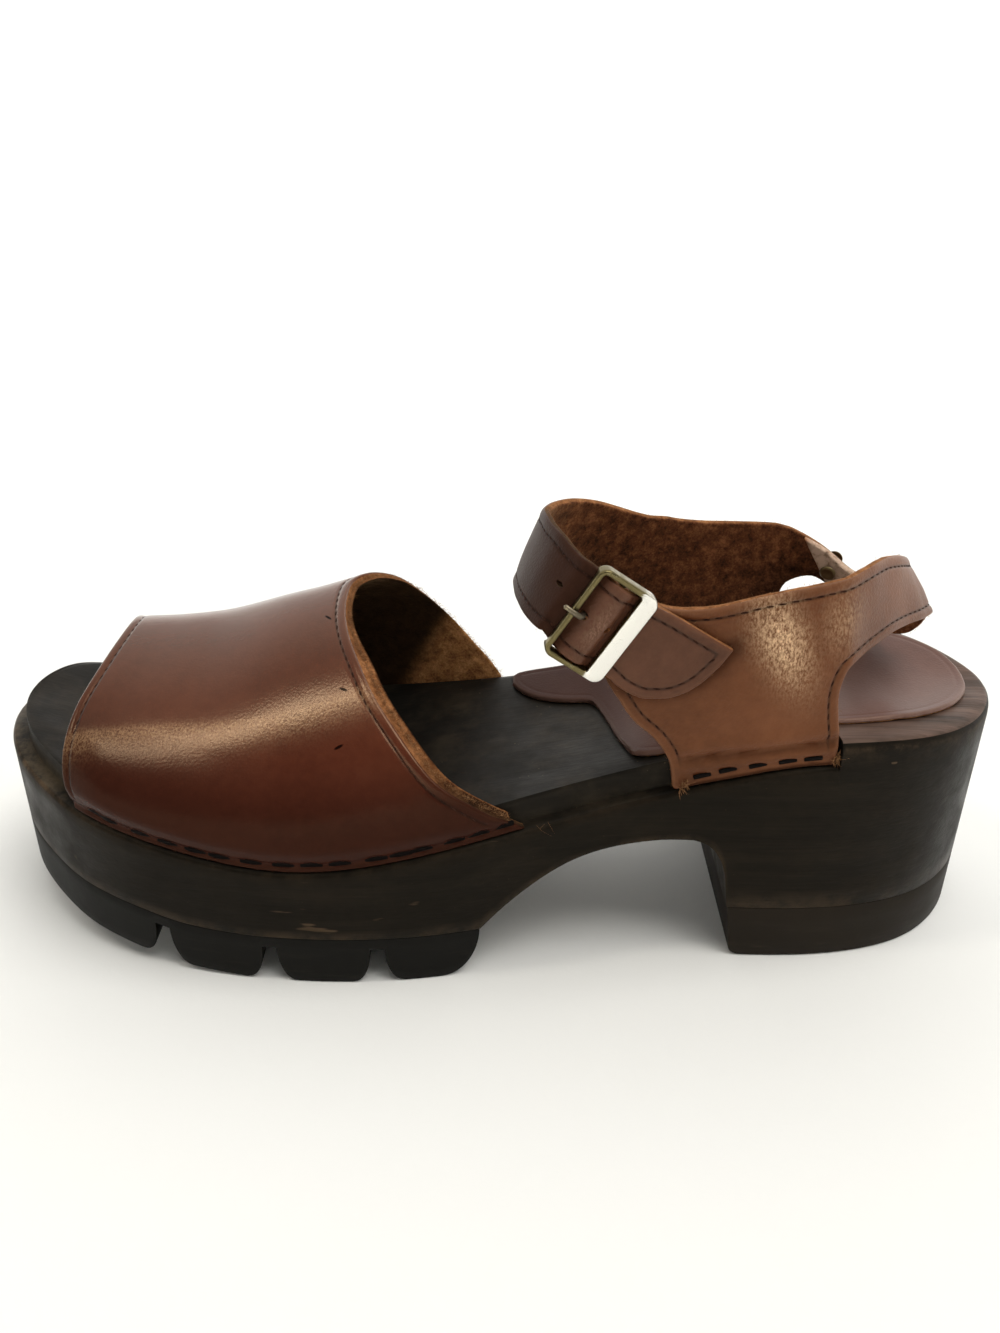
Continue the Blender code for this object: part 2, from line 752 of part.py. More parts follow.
def build_heel_pad(collection):
    """Lay the thin leather pad on the footbed's heel."""
    knots = column(PAD, PAD_COLUMNS, "x")
    share = np.linspace(0.0, 1.0, 27)
    x = knots[0] + (knots[-1] - knots[0]) * 0.5 * (1.0 - np.cos(np.pi * share))
    outer = steady(knots, column(PAD, PAD_COLUMNS, "outer"), x)
    inner = steady(knots, column(PAD, PAD_COLUMNS, "inner"), x)
    across = np.linspace(0.0, 1.0, 9)[None, :]
    y = outer[:, None] * (1.0 - across) + inner[:, None] * across
    station = np.repeat(x[:, None], y.shape[1], axis=1)
    left, right = outline_edges(station)
    left = left + EDGE_EASE
    right = right - EDGE_EASE
    side = np.clip(2.0 * (y - left) / (right - left) - 1.0, -1.0, 1.0)
    z = footbed_height(station, side) + 2.0 * FIT_GAP + PAD_THICKNESS
    grid = np.stack([station, y, z], axis=2)
    return shell("heel_pad", grid, PAD_THICKNESS, collection)


def vamp_point(x, angle):
    """Return a point on the vamp's outer face.

    The section at each station is a rounded arch between the two ledges: a power curve
    from each wall top to the crest.
    """
    outer, inner = outline_edges(x)
    base = ledge_height(x) + FIT_GAP + VAMP_WALL
    knots = column(CREST, CREST_COLUMNS, "x")
    crest = steady(knots, column(CREST, CREST_COLUMNS, "z"), x)
    near = np.cos(angle) > 0.0
    power = np.where(near, OUTER_POWER, INNER_POWER)
    wall = np.where(near, outer + VAMP_INSET, inner - VAMP_INSET)
    reach = np.abs(np.cos(angle)) ** (2.0 / power)
    rise = np.abs(np.sin(angle)) ** (2.0 / power)
    y = CREST_Y + (wall - CREST_Y) * reach
    z = base + (crest - base) * rise
    return np.stack([x, y, z], axis=-1)


def vamp_wall(first, last, height, along, side):
    """Return a row of points on the upright part of the vamp that stands on the ledge.

    side is 0 for the outer edge of the sole and 1 for the inner edge.
    """
    x = first * (1.0 - along) + last * along
    edge = outline_edges(x)[side]
    inset = VAMP_INSET if side == 0 else -VAMP_INSET
    return np.column_stack([x, edge + inset, ledge_height(x) + FIT_GAP + height])


def build_vamp(collection):
    """Make the open-toe band over the forefoot."""
    knots = column(VAMP_EDGES, VAMP_EDGE_COLUMNS, "angle")
    share = np.linspace(0.0, 1.0, VAMP_ANGLE_STEPS + 1)
    degrees = 180.0 * share
    front = spline(knots, column(VAMP_EDGES, VAMP_EDGE_COLUMNS, "front"), degrees)
    rear = spline(knots, column(VAMP_EDGES, VAMP_EDGE_COLUMNS, "rear"), degrees)
    along = np.linspace(0.0, 1.0, VAMP_LENGTH_STEPS + 1)
    x = front[:, None] * (1.0 - along) + rear[:, None] * along
    angle = np.repeat(np.radians(degrees)[:, None], len(along), axis=1)
    face = vamp_point(x, angle)
    outer_walls = []
    inner_walls = []
    for level in (0.0, 0.5):
        reach = 1.0 - level
        height = level * VAMP_WALL
        first = front[[0, -1]] + VAMP_FRONT_TURN * reach
        last = rear[[0, -1]] + np.array([VAMP_OUTER_CORNER, VAMP_INNER_CORNER]) * reach
        outer_walls.append(vamp_wall(first[0], last[0], height, along, 0))
        inner_walls.insert(0, vamp_wall(first[1], last[1], height, along, 1))
    grid = np.stack(outer_walls + list(face) + inner_walls)
    return shell("vamp", grid[::-1], VAMP_THICKNESS, collection)


def buckle_axes():
    """Return the buckle's three directions: along the strap, across it, and outwards."""
    slope = math.radians(BUCKLE_SLOPE)
    lean = math.radians(BUCKLE_LEAN)
    along = np.array([math.cos(slope), 0.0, -math.sin(slope)])
    up = np.array([math.sin(slope), 0.0, math.cos(slope)])
    inward = np.array([0.0, 1.0, 0.0])
    across = math.cos(lean) * up + math.sin(lean) * inward
    outward = math.sin(lean) * up - math.cos(lean) * inward
    return along, across, outward


def at_buckle(along, across, out):
    """Return a point given in the buckle's own directions."""
    first, second, third = buckle_axes()
    return np.array(BUCKLE_POINT) + along * first + across * second + out * third


def sweep_ribs(ribs, rib_steps):
    """Return a grid of points on smooth ribs between the given ones.

    Each rib row holds its lower point, its upper point and an outward bulge. The bulge
    is a half sine wave across the rib.
    """
    ribs = np.asarray(ribs, dtype=float)
    number = np.arange(len(ribs), dtype=float)
    middle = 0.5 * (ribs[:, 0:3] + ribs[:, 3:6])
    low_run = np.linalg.norm(np.diff(ribs[:, 0:3], axis=0), axis=1)
    run = np.maximum(np.linalg.norm(np.diff(middle, axis=0), axis=1), low_run)
    parts = np.maximum(2, np.ceil(run / RIB_SPAN)).astype(int)
    spans = [np.arange(count) / count + first for first, count in zip(number, parts)]
    at = np.concatenate(spans + [number[-1:]])
    smooth = np.stack([steady(number, ribs[:, k], at) for k in range(7)], axis=1)
    share = np.linspace(0.0, 1.0, rib_steps + 1)[None, :, None]
    low = smooth[:, None, 0:3]
    high = smooth[:, None, 3:6]
    grid = low * (1.0 - share) + high * share
    forward = np.gradient(grid, axis=0)
    upward = np.gradient(grid, axis=1)
    out = np.cross(forward, upward)
    out /= np.linalg.norm(out, axis=2)[:, :, None]
    wave = np.sin(np.pi * share) * smooth[:, None, 6:7]
    return grid + out * wave


def tab_ribs():
    """Return the ribs of the quarter's tab, folded up in front of the centre bar."""
    ribs = []
    for degrees in TAB_FOLD_ANGLES:
        turn = math.radians(degrees)
        s = CENTRE_BAR_ALONG + TAB_FOLD_RADIUS * math.cos(turn)
        n = CENTRE_BAR_HEIGHT + TAB_FOLD_RADIUS * math.sin(turn)
        low = at_buckle(s, -TAB_HALF_WIDTH, n)
        high = at_buckle(s, TAB_HALF_WIDTH, n)
        ribs.append((*low, *high, 0.0))
    for s in (3.0, 6.0):
        low = at_buckle(s, -TAB_HALF_WIDTH, 0.0)
        high = at_buckle(s, TAB_HALF_WIDTH, 0.0)
        ribs.append((*low, *high, 0.0))
    return ribs


def buckle_peg(name, radius, along, across, collection):
    """Make a round peg that stands outwards through the strap at the buckle."""
    matrix = axes_matrix(at_buckle(along, across, 4.0), *buckle_axes())
    return peg(name, radius, 10.0, matrix, collection)


def buckle_block(name, along, across, out, collection):
    """Make a plain block in the buckle's directions from three (low, high) spans."""
    spans = np.array([along, across, out])
    centre = at_buckle(*spans.mean(axis=1))
    size = (spans[:, 1] - spans[:, 0]) * MM
    body = bmesh.new()
    bmesh.ops.create_cube(body, size=1.0, matrix=Matrix.Diagonal((*size, 1.0)))
    return place(name, body, axes_matrix(centre, *buckle_axes()), collection)


def build_quarter_slingback(collection, cutters):
    """Make the outer quarter with its tab and the strap round the heel."""
    ribs = tab_ribs() + list(QUARTER)
    grid = sweep_ribs(ribs, RIB_STEPS)
    body = shell("quarter_slingback", grid, STRAP_THICKNESS, collection)
    slot = buckle_block(
        "tab_slot",
        (-6.0, TAB_SLOT_REACH),
        (-TAB_SLOT_HALF, TAB_SLOT_HALF),
        (-6.0, 4.0),
        cutters,
    )
    cut(body, slot, "DIFFERENCE")
    for name, x, y, z in RIVETS:
        cut(body, rivet_hole(name + "_sling_hole", (x, y, z), cutters), "DIFFERENCE")
    return body


def build_ankle_strap(collection, cutters):
    """Make the inner quarter with the strap over the instep and through the buckle."""
    ribs = list(STRAP)
    for along, out, low, high in STRAP_IN_BUCKLE:
        ribs.append((*at_buckle(along, low, out), *at_buckle(along, high, out), 0.0))
    grid = sweep_ribs(ribs, RIB_STEPS)
    body = shell("ankle_strap", grid, STRAP_THICKNESS, collection)
    for name, along, across, radius in STRAP_HOLES:
        cut(body, buckle_peg(name, radius, along, across, cutters), "DIFFERENCE")
    for name, x, y, z in RIVETS:
        cut(body, rivet_hole(name + "_strap_hole", (x, y, z), cutters), "DIFFERENCE")
    return body


def rivet_matrix(centre):
    """Return a rivet's placement: Z outwards through the lap of the straps."""
    out = np.array(RIVET_DIRECTION)
    out = out / np.linalg.norm(out)
    side = np.cross((0.0, 0.0, 1.0), out)
    side /= np.linalg.norm(side)
    return axes_matrix(centre, side, np.cross(out, side), out)


def rivet_hole(name, centre, collection):
    """Make the hole that a rivet's shank needs."""
    radius = RIVET_SHANK_RADIUS + FIT_GAP
    return peg(name, radius, 18.0, rivet_matrix(centre), collection)


def build_rivet(name, centre, collection):
    """Turn a rivet: domed cap outside, shank, and flat back inside."""
    base = FIT_GAP + 0.2
    inside = -RIVET_GRIP
    profile = []
    for t in (1.0, 0.85, 0.65, 0.4, 0.15):
        angle = 0.5 * math.pi * t
        radius = RIVET_CAP_RADIUS * math.cos(angle)
        profile.append((radius, base + RIVET_CAP_HEIGHT * math.sin(angle)))
    profile += [
        (RIVET_CAP_RADIUS, base),
        (RIVET_SHANK_RADIUS, base),
        (RIVET_SHANK_RADIUS, inside),
        (RIVET_BACK_RADIUS, inside),
        (RIVET_BACK_RADIUS, inside - 0.5 * RIVET_BACK_HEIGHT),
        (RIVET_BACK_RADIUS - 0.3, inside - RIVET_BACK_HEIGHT),
        (0.0, inside - RIVET_BACK_HEIGHT),
    ]
    body = bmesh.new()
    points = [body.verts.new((radius * MM, 0.0, height * MM)) for radius, height in profile]
    for first, second in zip(points, points[1:]):
        body.edges.new((first, second))
    rivet = place(name, body, rivet_matrix(centre), collection)
    modifier = rivet.modifiers.new("turning", "SCREW")
    modifier.steps = RIVET_STEPS
    modifier.render_steps = RIVET_STEPS
    modifier.use_merge_vertices = True
    modifier.merge_threshold = 0.00001
    return rivet


def rounded_plate(low, high, half, corner, out, steps=5):
    """Return a ring of a rounded rectangle in the buckle's plane."""
    points = []
    corners = (
        (high - corner, half - corner, 0.0),
        (low + corner, half - corner, 90.0),
        (low + corner, -half + corner, 180.0),
        (high - corner, -half + corner, 270.0),
    )
    for along, across, start in corners:
        for k in range(steps + 1):
            turn = math.radians(start + 90.0 * k / steps)
            s = along + corner * math.cos(turn)
            w = across + corner * math.sin(turn)
            points.append(at_buckle(s, w, out))
    return np.array(points)


def build_buckle_frame(collection, cutters):
    """Make the frame: a rounded plate with one window, relieved under both bars."""
    ease = 0.45
    rows = []
    for shrink, out in (
        (0.0, BUCKLE_BASE),
        (0.0, BUCKLE_TOP - 2.0 * ease),
        (0.3 * ease, BUCKLE_TOP - 0.6 * ease),
        (ease, BUCKLE_TOP),
    ):
        rows.append(rounded_plate(
            -BUCKLE_BACK + shrink,
            BUCKLE_FRONT - shrink,
            BUCKLE_HALF_WIDTH - shrink,
            BUCKLE_CORNER - shrink,
            out,
        ))
    body = closed_rows("buckle_frame", rows, collection)
    window = [
        rounded_plate(
            -BUCKLE_BACK + BUCKLE_THIN_BAR,
            BUCKLE_FRONT - BUCKLE_WIDE_BAR,
            BUCKLE_HALF_WIDTH - BUCKLE_RAIL,
            0.6,
            out,
            2,
        )
        for out in (-2.0, 9.0)
    ]
    cut(body, closed_rows("buckle_window", window, cutters), "DIFFERENCE")
    inner = BUCKLE_HALF_WIDTH - BUCKLE_RAIL
    under = buckle_block(
        "buckle_underside",
        (-BUCKLE_BACK - 2.0, BUCKLE_FRONT + 2.0),
        (-inner, inner),
        (-2.0, BUCKLE_UNDER_BARS),
        cutters,
    )
    cut(body, under, "DIFFERENCE")
    rows = []
    for across in (-inner - 0.7, inner + 0.7):
        turn = np.linspace(0.0, 2.0 * np.pi, 16, endpoint=False)
        row = []
        for t in turn:
            s = CENTRE_BAR_ALONG + CENTRE_BAR_RADIUS * math.cos(t)
            n = CENTRE_BAR_HEIGHT + CENTRE_BAR_RADIUS * math.sin(t)
            row.append(at_buckle(s, across, n))
        rows.append(np.array(row))
    bar = closed_rows("centre_bar", rows, cutters)
    cut(body, bar, "UNION")
    return body


def build_buckle_prong(collection):
    """Make the prong: a round wire hooked on the centre bar, through the strap, to the thin bar."""
    rows = np.arange(len(PRONG), dtype=float)
    at = np.linspace(0.0, len(PRONG) - 1.0, 26)
    along = spline(rows, column(PRONG, PRONG_COLUMNS, "along"), at)
    out = spline(rows, column(PRONG, PRONG_COLUMNS, "out"), at)
    curve = bpy.data.curves.new("prong_path", "CURVE")
    curve.dimensions = "3D"
    curve.bevel_depth = PRONG_RADIUS * MM
    curve.bevel_resolution = 2
    curve.use_fill_caps = True
    line = curve.splines.new("POLY")
    line.points.add(len(at) - 1)
    for point, s, n in zip(line.points, along, out):
        spot = at_buckle(s, 0.0, n)
        spot[1] += SIDE_SHIFT
        point.co = (*(spot * MM), 1.0)
    holder = bpy.data.objects.new("prong_path", curve)
    collection.objects.link(holder)
    bpy.context.view_layer.update()
    graph = bpy.context.evaluated_depsgraph_get()
    mesh = bpy.data.meshes.new_from_object(holder.evaluated_get(graph))
    mesh.name = "buckle_prong"
    bpy.data.objects.remove(holder, do_unlink=True)
    clean = bmesh.new()
    clean.from_mesh(mesh)
    bmesh.ops.remove_doubles(clean, verts=clean.verts, dist=0.00001)
    bmesh.ops.recalc_face_normals(clean, faces=clean.faces)
    clean.to_mesh(mesh)
    clean.free()
    body = bpy.data.objects.new("buckle_prong", mesh)
    collection.objects.link(body)
    return body


def finish(body, material):
    """Give a piece its own material."""
    body.data.materials.clear()
    body.data.materials.append(make_material(material))


def main():
    """Build every piece of the shoe."""
    for thing in list(bpy.data.objects):
        bpy.data.objects.remove(thing, do_unlink=True)
    parts = make_collection(OBJECT_NAME)
    cutters = make_collection("cutters")
    finish(build_sole_block(parts, cutters), "dark_wood")
    finish(build_forefoot_outsole(parts, cutters), "black_rubber")
    finish(build_heel_toplift(parts, cutters), "lift_rubber")
    finish(build_heel_pad(parts), "pad_leather")
    finish(build_vamp(parts), "vamp_leather")
    finish(build_quarter_slingback(parts, cutters), "quarter_leather")
    finish(build_ankle_strap(parts, cutters), "strap_leather")
    for name, x, y, z in RIVETS:
        finish(build_rivet(name, (x, y, z), parts), name.replace("rivet", "rivet_brass"))
    finish(build_buckle_frame(parts, cutters), "frame_brass")
    finish(build_buckle_prong(parts), "prong_brass")


main()
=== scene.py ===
"""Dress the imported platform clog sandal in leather, wood, rubber and brass.

Frame: toe towards -X, heel towards +X, buckle side towards -Y, up +Z. Shapes are worked
out in millimetres before the side shift, and written to meshes in metres.
"""
import json
import logging
import math
from dataclasses import dataclass, field
from enum import Enum
from typing import Dict, List, Optional, Sequence, Tuple, Union

import bmesh
import bpy
import numpy as np
from mathutils import Matrix

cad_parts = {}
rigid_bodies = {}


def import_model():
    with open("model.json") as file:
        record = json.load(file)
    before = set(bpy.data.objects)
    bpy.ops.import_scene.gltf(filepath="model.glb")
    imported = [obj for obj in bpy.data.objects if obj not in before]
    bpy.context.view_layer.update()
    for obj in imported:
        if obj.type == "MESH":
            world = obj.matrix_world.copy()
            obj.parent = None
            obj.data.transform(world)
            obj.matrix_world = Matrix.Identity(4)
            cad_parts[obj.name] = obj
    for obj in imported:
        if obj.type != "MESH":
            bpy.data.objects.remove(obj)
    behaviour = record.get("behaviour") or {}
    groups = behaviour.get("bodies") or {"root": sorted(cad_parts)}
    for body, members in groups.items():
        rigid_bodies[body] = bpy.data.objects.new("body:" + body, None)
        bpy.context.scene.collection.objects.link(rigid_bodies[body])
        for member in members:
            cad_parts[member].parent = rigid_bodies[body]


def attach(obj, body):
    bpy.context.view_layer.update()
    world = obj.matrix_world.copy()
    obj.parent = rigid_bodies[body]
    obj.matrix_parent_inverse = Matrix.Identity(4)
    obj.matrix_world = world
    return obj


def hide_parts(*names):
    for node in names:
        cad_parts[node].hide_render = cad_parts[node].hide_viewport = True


for start_thing in list(bpy.data.objects):
    bpy.data.objects.remove(start_thing, do_unlink=True)
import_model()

LOG = logging.getLogger("sandal")
MM = 0.001
SIDE_SHIFT = 3.6
WELD = 2e-6
BODY = "root"
EDGE_LINES = (0.0, 0.1, 0.25, 0.45, 0.7, 1.0, 1.4, 1.75, 2.05, 2.3, 2.5, 2.7, 2.9, 3.15, 3.5, 4.0, 4.6)
Array = np.ndarray
Number = Union[float, Array]
Table = Tuple[Tuple[float, ...], ...]
Colour = Tuple[float, float, float]
Point = Tuple[float, float, float]
Lines = Tuple[Array, Array]
Socket = bpy.types.NodeSocket
Material = bpy.types.Material


class Side(Enum):
    """Which side of the shoe: outer faces -Y, inner faces +Y."""

    OUTER = 0
    INNER = 1

    def out(self) -> float:
        """Sign of the side's outward direction along Y."""
        return 1.0 if self is Side.INNER else -1.0


class Cut(Enum):
    """Which long edge of a sheet: the one at its first or at its last column."""

    FIRST = 0
    LAST = -1


class Level(Enum):
    """What the height of a wall row is measured from."""

    LEDGE = 0
    RIM = 1
    BED = 2


def columns(table: Table) -> List[Array]:
    """Split a table into its columns."""
    return list(np.array(table, dtype=float).T)


def steady(knots: Array, values: Array, at: Array) -> Array:
    """Cubic through the knots that never overshoots them.

    Inner slopes are the weighted harmonic mean of the two neighbouring rises, or zero
    where those differ in sign.

    Args:
        knots: rising places.
        values: value at each knot.
        at: places to read.
    Returns:
        Values at those places.
    """
    step = np.diff(knots)
    rise = np.diff(values) / step
    slope = np.zeros(len(knots))
    slope[0], slope[-1] = rise[0], rise[-1]
    same = rise[:-1] * rise[1:] > 0.0
    one = 2.0 * step[1:] + step[:-1]
    two = step[1:] + 2.0 * step[:-1]
    first = np.where(same, rise[:-1], 1.0)
    second = np.where(same, rise[1:], 1.0)
    slope[1:-1] = np.where(same, (one + two) / (one / first + two / second), 0.0)
    at = np.asarray(at, dtype=float)
    k = np.clip(np.searchsorted(knots, at) - 1, 0, len(knots) - 2)
    t = (at - knots[k]) / step[k]
    ends = (1.0 + 2.0 * t) * (1.0 - t) ** 2 * values[k] + t * t * (3.0 - 2.0 * t) * values[k + 1]
    leans = t * (1.0 - t) ** 2 * slope[k] + t * t * (t - 1.0) * slope[k + 1]
    return ends + leans * step[k]


def spline(knots: Array, values: Array, at: Array) -> Array:
    """Natural cubic spline: the bend at each knot solves the usual three-term system.

    Args:
        knots: rising places.
        values: value at each knot.
        at: places to read.
    Returns:
        Values at those places.
    """
    step = np.diff(knots)
    rise = np.diff(values) / step
    count = len(knots)
    matrix = np.eye(count)
    inside = np.arange(1, count - 1)
    matrix[inside, inside - 1] = step[:-1]
    matrix[inside, inside] = 2.0 * (step[:-1] + step[1:])
    matrix[inside, inside + 1] = step[1:]
    bend = np.linalg.solve(matrix, np.concatenate([[0.0], 6.0 * np.diff(rise), [0.0]]))
    at = np.asarray(at, dtype=float)
    k = np.clip(np.searchsorted(knots, at) - 1, 0, count - 2)
    h = step[k]
    a = (knots[k + 1] - at) / h
    b = 1.0 - a
    curve = ((a ** 3 - a) * bend[k] + (b ** 3 - b) * bend[k + 1]) * h * h / 6.0
    return a * values[k] + b * values[k + 1] + curve


def smooth_step(low: float, high: float, at: Array) -> Array:
    """Rise from 0 at low to 1 at high along a smooth S; low may be the greater."""
    t = np.clip((at - low) / (high - low), 0.0, 1.0)
    return t * t * (3.0 - 2.0 * t)


def window(at: Array, limits: Sequence[float]) -> Array:
    """Rise from 0 to 1 between the first two limits, and fall back between the last two."""
    return smooth_step(limits[0], limits[1], at) * (1.0 - smooth_step(limits[2], limits[3], at))


def bell(at: Array, centre: float, width: Number) -> Array:
    """Bell curve of height 1: e to the minus square of the distance over the width."""
    return np.exp(-((at - centre) / width) ** 2)


def unit(vectors: Array) -> Array:
    """Scale vectors to length one."""
    return vectors / np.maximum(np.linalg.norm(vectors, axis=-1, keepdims=True), 1e-9)


def scaled(colour: Colour, share: float, lift: float = 0.0) -> Colour:
    """Multiply a colour, and lift it by the same amount in each channel."""
    return tuple(share * c + lift for c in colour)


def circle(count: int) -> Array:
    """Angles of evenly spaced points round a circle."""
    return np.linspace(0.0, 2.0 * np.pi, count, endpoint=False)


def waves(points: Array, size: float, seed: int) -> Array:
    """Soft random relief: a sum of eight sine waves in random directions.

    Args:
        points: places, in millimetres.
        size: rough length of a wave.
        seed: picks the waves.
    Returns:
        Values of about -1 to 1.
    """
    rng = np.random.default_rng(seed)
    turn = unit(rng.normal(size=(8, 3))) * (2.0 * np.pi / (size * rng.uniform(0.7, 1.6, (8, 1))))
    phase = rng.uniform(0.0, 2.0 * np.pi, 8)
    return np.sin(points @ turn.T + phase).sum(axis=-1) / 3.4


def corner_stack(values: Array) -> Array:
    """The four corners of every cell of a grid, in order round the cell, on a new last axis."""
    return np.stack([values[:-1, :-1], values[1:, :-1], values[1:, 1:], values[:-1, 1:]], axis=-1)


def line_runs(line: Array) -> Array:
    """Length from a line's start to each of its points."""
    return np.concatenate([[0.0], np.cumsum(np.linalg.norm(np.diff(line, axis=0), axis=1))])


def read_line(run: Array, values: Array, at: Array) -> Array:
    """Read three columns of values at lengths along a line."""
    return np.stack([np.interp(at, run, values[:, k]) for k in range(3)], axis=1)


def along_line(line: Array, normal: Array, at: Array) -> Tuple[Array, Array, Array]:
    """Read points, normals and directions at lengths along a line.

    Args:
        line: points of the line.
        normal: normal at each point.
        at: lengths from its start, in millimetres.
    Returns:
        Points, normals and unit directions.
    """
    run = line_runs(line)
    ahead = read_line(run, line, at + 0.5) - read_line(run, line, at - 0.5)
    return read_line(run, line, at), unit(read_line(run, normal, at)), unit(ahead)


def edge_shares(width: Array, inside: int) -> Array:
    """Places across a sheet, as shares of its width, crowded near both edges.

    Args:
        width: width of each row in millimetres.
        inside: lines between the two crowded bands.
    Returns:
        Shares by row and line.
    """
    near = np.array(EDGE_LINES)[None, :] * np.minimum(1.0, 0.46 * width[:, None] / EDGE_LINES[-1])
    last = near[:, -1:]
    middle = np.linspace(0.0, 1.0, inside + 2)[None, 1:-1]
    centre = last + (width[:, None] - 2.0 * last) * middle
    away = width[:, None] - near[:, ::-1]
    return np.concatenate([near, centre, away], axis=1) / width[:, None]


def distance_to(points: Array, line: Array) -> Array:
    """Shortest distance from each point of a grid to a line of points.

    Args:
        points: grid of points.
        line: points along the line.
    Returns:
        Distances, by the grid's rows and columns.
    """
    flat = points.reshape(-1, 3)
    square = np.full(len(flat), np.inf)
    for start, end in zip(line, line[1:]):
        span = end - start
        share = np.clip((flat - start) @ span / max(float(span @ span), 1e-9), 0.0, 1.0)
        gap = flat - start - share[:, None] * span
        square = np.minimum(square, np.einsum("ij,ij->i", gap, gap))
    return np.sqrt(square).reshape(points.shape[:2])


def stitch_relief(seam: Array, sewn: Array, groove: Sequence[float], ridge: Sequence[float]) -> Array:
    """Relief along a seam: a bell-shaped groove under the stitches and a ridge beside it.

    Args:
        seam: distance from the sewn edge.
        sewn: 1 where the edge is sewn, 0 elsewhere.
        groove: depth, distance from the edge and width.
        ridge: height, distance from the edge and width.
    Returns:
        Heights in millimetres.
    """
    return (ridge[0] * bell(seam, *ridge[1:]) - groove[0] * bell(seam, *groove[1:])) * sewn


@dataclass
class Surface:
    """Points, faces and finish numbers of a mesh that is still being put together."""

    points: Array
    faces: List[Array]
    slots: List[Array]
    values: Dict[str, Array] = field(default_factory=dict)

    @staticmethod
    def of_grid(grid: Array, slot: int = 0, around: bool = False) -> "Surface":
        """Quads over a grid of points, joined round its columns if asked.

        Args:
            grid: points by row and column.
            slot: finish number of all quads.
            around: whether the last column meets the first.
        Returns:
            The open surface.
        """
        rows, cols = grid.shape[:2]
        index = np.arange(rows * cols).reshape(rows, cols)
        if around:
            index = np.concatenate([index, index[:, :1]], axis=1)
        quads = corner_stack(index).reshape(-1, 4)
        return Surface(grid.reshape(-1, 3), [quads], [np.full(len(quads), slot)])

    @staticmethod
    def of_rings(core: Array, ring: Array, girth: Array) -> "Surface":
        """Closed bodies: rings of points carried along the core of each and scaled on the way.

        Args:
            core: core points by body and place.
            ring: offsets by body, place and point round the ring.
            girth: scale of the ring at each place.
        Returns:
            All bodies as one surface.
        """
        points = core[:, :, None, :] + girth[None, :, None, None] * ring
        index = np.arange(points[..., 0].size).reshape(points.shape[:3])
        beside = np.roll(index, -1, axis=2)
        quads = np.stack([index[:, :-1], index[:, 1:], beside[:, 1:], beside[:, :-1]], axis=-1).reshape(-1, 4)
        ends = np.concatenate([index[:, 0, ::-1], index[:, -1]])
        return Surface(points.reshape(-1, 3), [quads, ends], [np.zeros(len(quads)), np.zeros(len(ends))])

    def add(self, other: "Surface") -> "Surface":
        """Take in another surface's points and faces.

        Args:
            other: the surface to add.
        Returns:
            This surface.
        """
        base = len(self.points)
        self.points = np.concatenate([self.points, other.points])
        self.faces += [faces + base for faces in other.faces]
        self.slots += other.slots
        return self

    def mesh(self, name: str, sharp: float) -> bpy.types.Mesh:
        """Write the surface to a mesh.

        Unused points go, points that meet are welded, and faces are turned outwards.

        Args:
            name: the mesh's name.
            sharp: edges that turn by more degrees than this stay sharp.
        Returns:
            The mesh, in metres.
        """
        corner = np.concatenate([faces.ravel() for faces in self.faces])
        used, index = np.unique(corner, return_inverse=True)
        count = np.concatenate([np.full(len(faces), faces.shape[1]) for faces in self.faces])
        points = self.points[used] + np.array([0.0, SIDE_SHIFT, 0.0])
        mesh = bpy.data.meshes.new(name)
        mesh.vertices.add(len(points))
        mesh.vertices.foreach_set("co", (points * MM).astype(np.float32).ravel())
        mesh.loops.add(len(index))
        mesh.loops.foreach_set("vertex_index", index.ravel().astype(np.int32))
        mesh.polygons.add(len(count))
        starts = np.concatenate([[0], np.cumsum(count)[:-1]])
        mesh.polygons.foreach_set("loop_start", starts.astype(np.int32))
        mesh.polygons.foreach_set("material_index", np.concatenate(self.slots).astype(np.int32))
        for key, value in self.values.items():
            layer = mesh.attributes.new(key, "FLOAT", "POINT")
            layer.data.foreach_set("value", value[used].astype(np.float32))
        mesh.update(calc_edges=True)
        mesh.validate()
        body = bmesh.new()
        body.from_mesh(mesh)
        bmesh.ops.remove_doubles(body, verts=body.verts, dist=WELD)
        bmesh.ops.recalc_face_normals(body, faces=body.faces)
        body.to_mesh(mesh)
        body.free()
        mesh.polygons.foreach_set("use_smooth", np.ones(len(mesh.polygons), dtype=bool))
        mesh.set_sharp_from_angle(angle=math.radians(sharp))
        return mesh


def write_piece(
    name: str,
    surface: Surface,
    finishes: Sequence[Material],
    replaced: Sequence[str] = (),
    sharp: float = 48.0,
) -> None:
    """Write a surface to a mesh object that rides on the frame.

    Args:
        name: the piece's name.
        surface: its points in millimetres and its faces.
        finishes: its materials, by finish number.
        replaced: CAD nodes that it stands for.
        sharp: edges that turn by more degrees than this stay sharp.
    """
    mesh = surface.mesh(name, sharp)
    for finish in finishes:
        mesh.materials.append(finish)
    piece = bpy.data.objects.new(name, mesh)
    bpy.context.scene.collection.objects.link(piece)
    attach(piece, BODY)
    if replaced:
        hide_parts(*replaced)
    LOG.info("%s: %d points, %d faces", name, len(mesh.vertices), len(mesh.polygons))


def fill_ramp(ramp: bpy.types.ColorRamp, stops: Sequence[Tuple[float, Colour]]) -> None:
    """Give a colour ramp its stops.

    Args:
        ramp: the ramp, with two stops or more.
        stops: place and colour of each stop, in rising order.
    """
    while len(ramp.elements) < len(stops):
        ramp.elements.new(0.5)
    for element, (place, colour) in zip(ramp.elements, stops):
        element.position = place
        element.color = (*colour, 1.0)


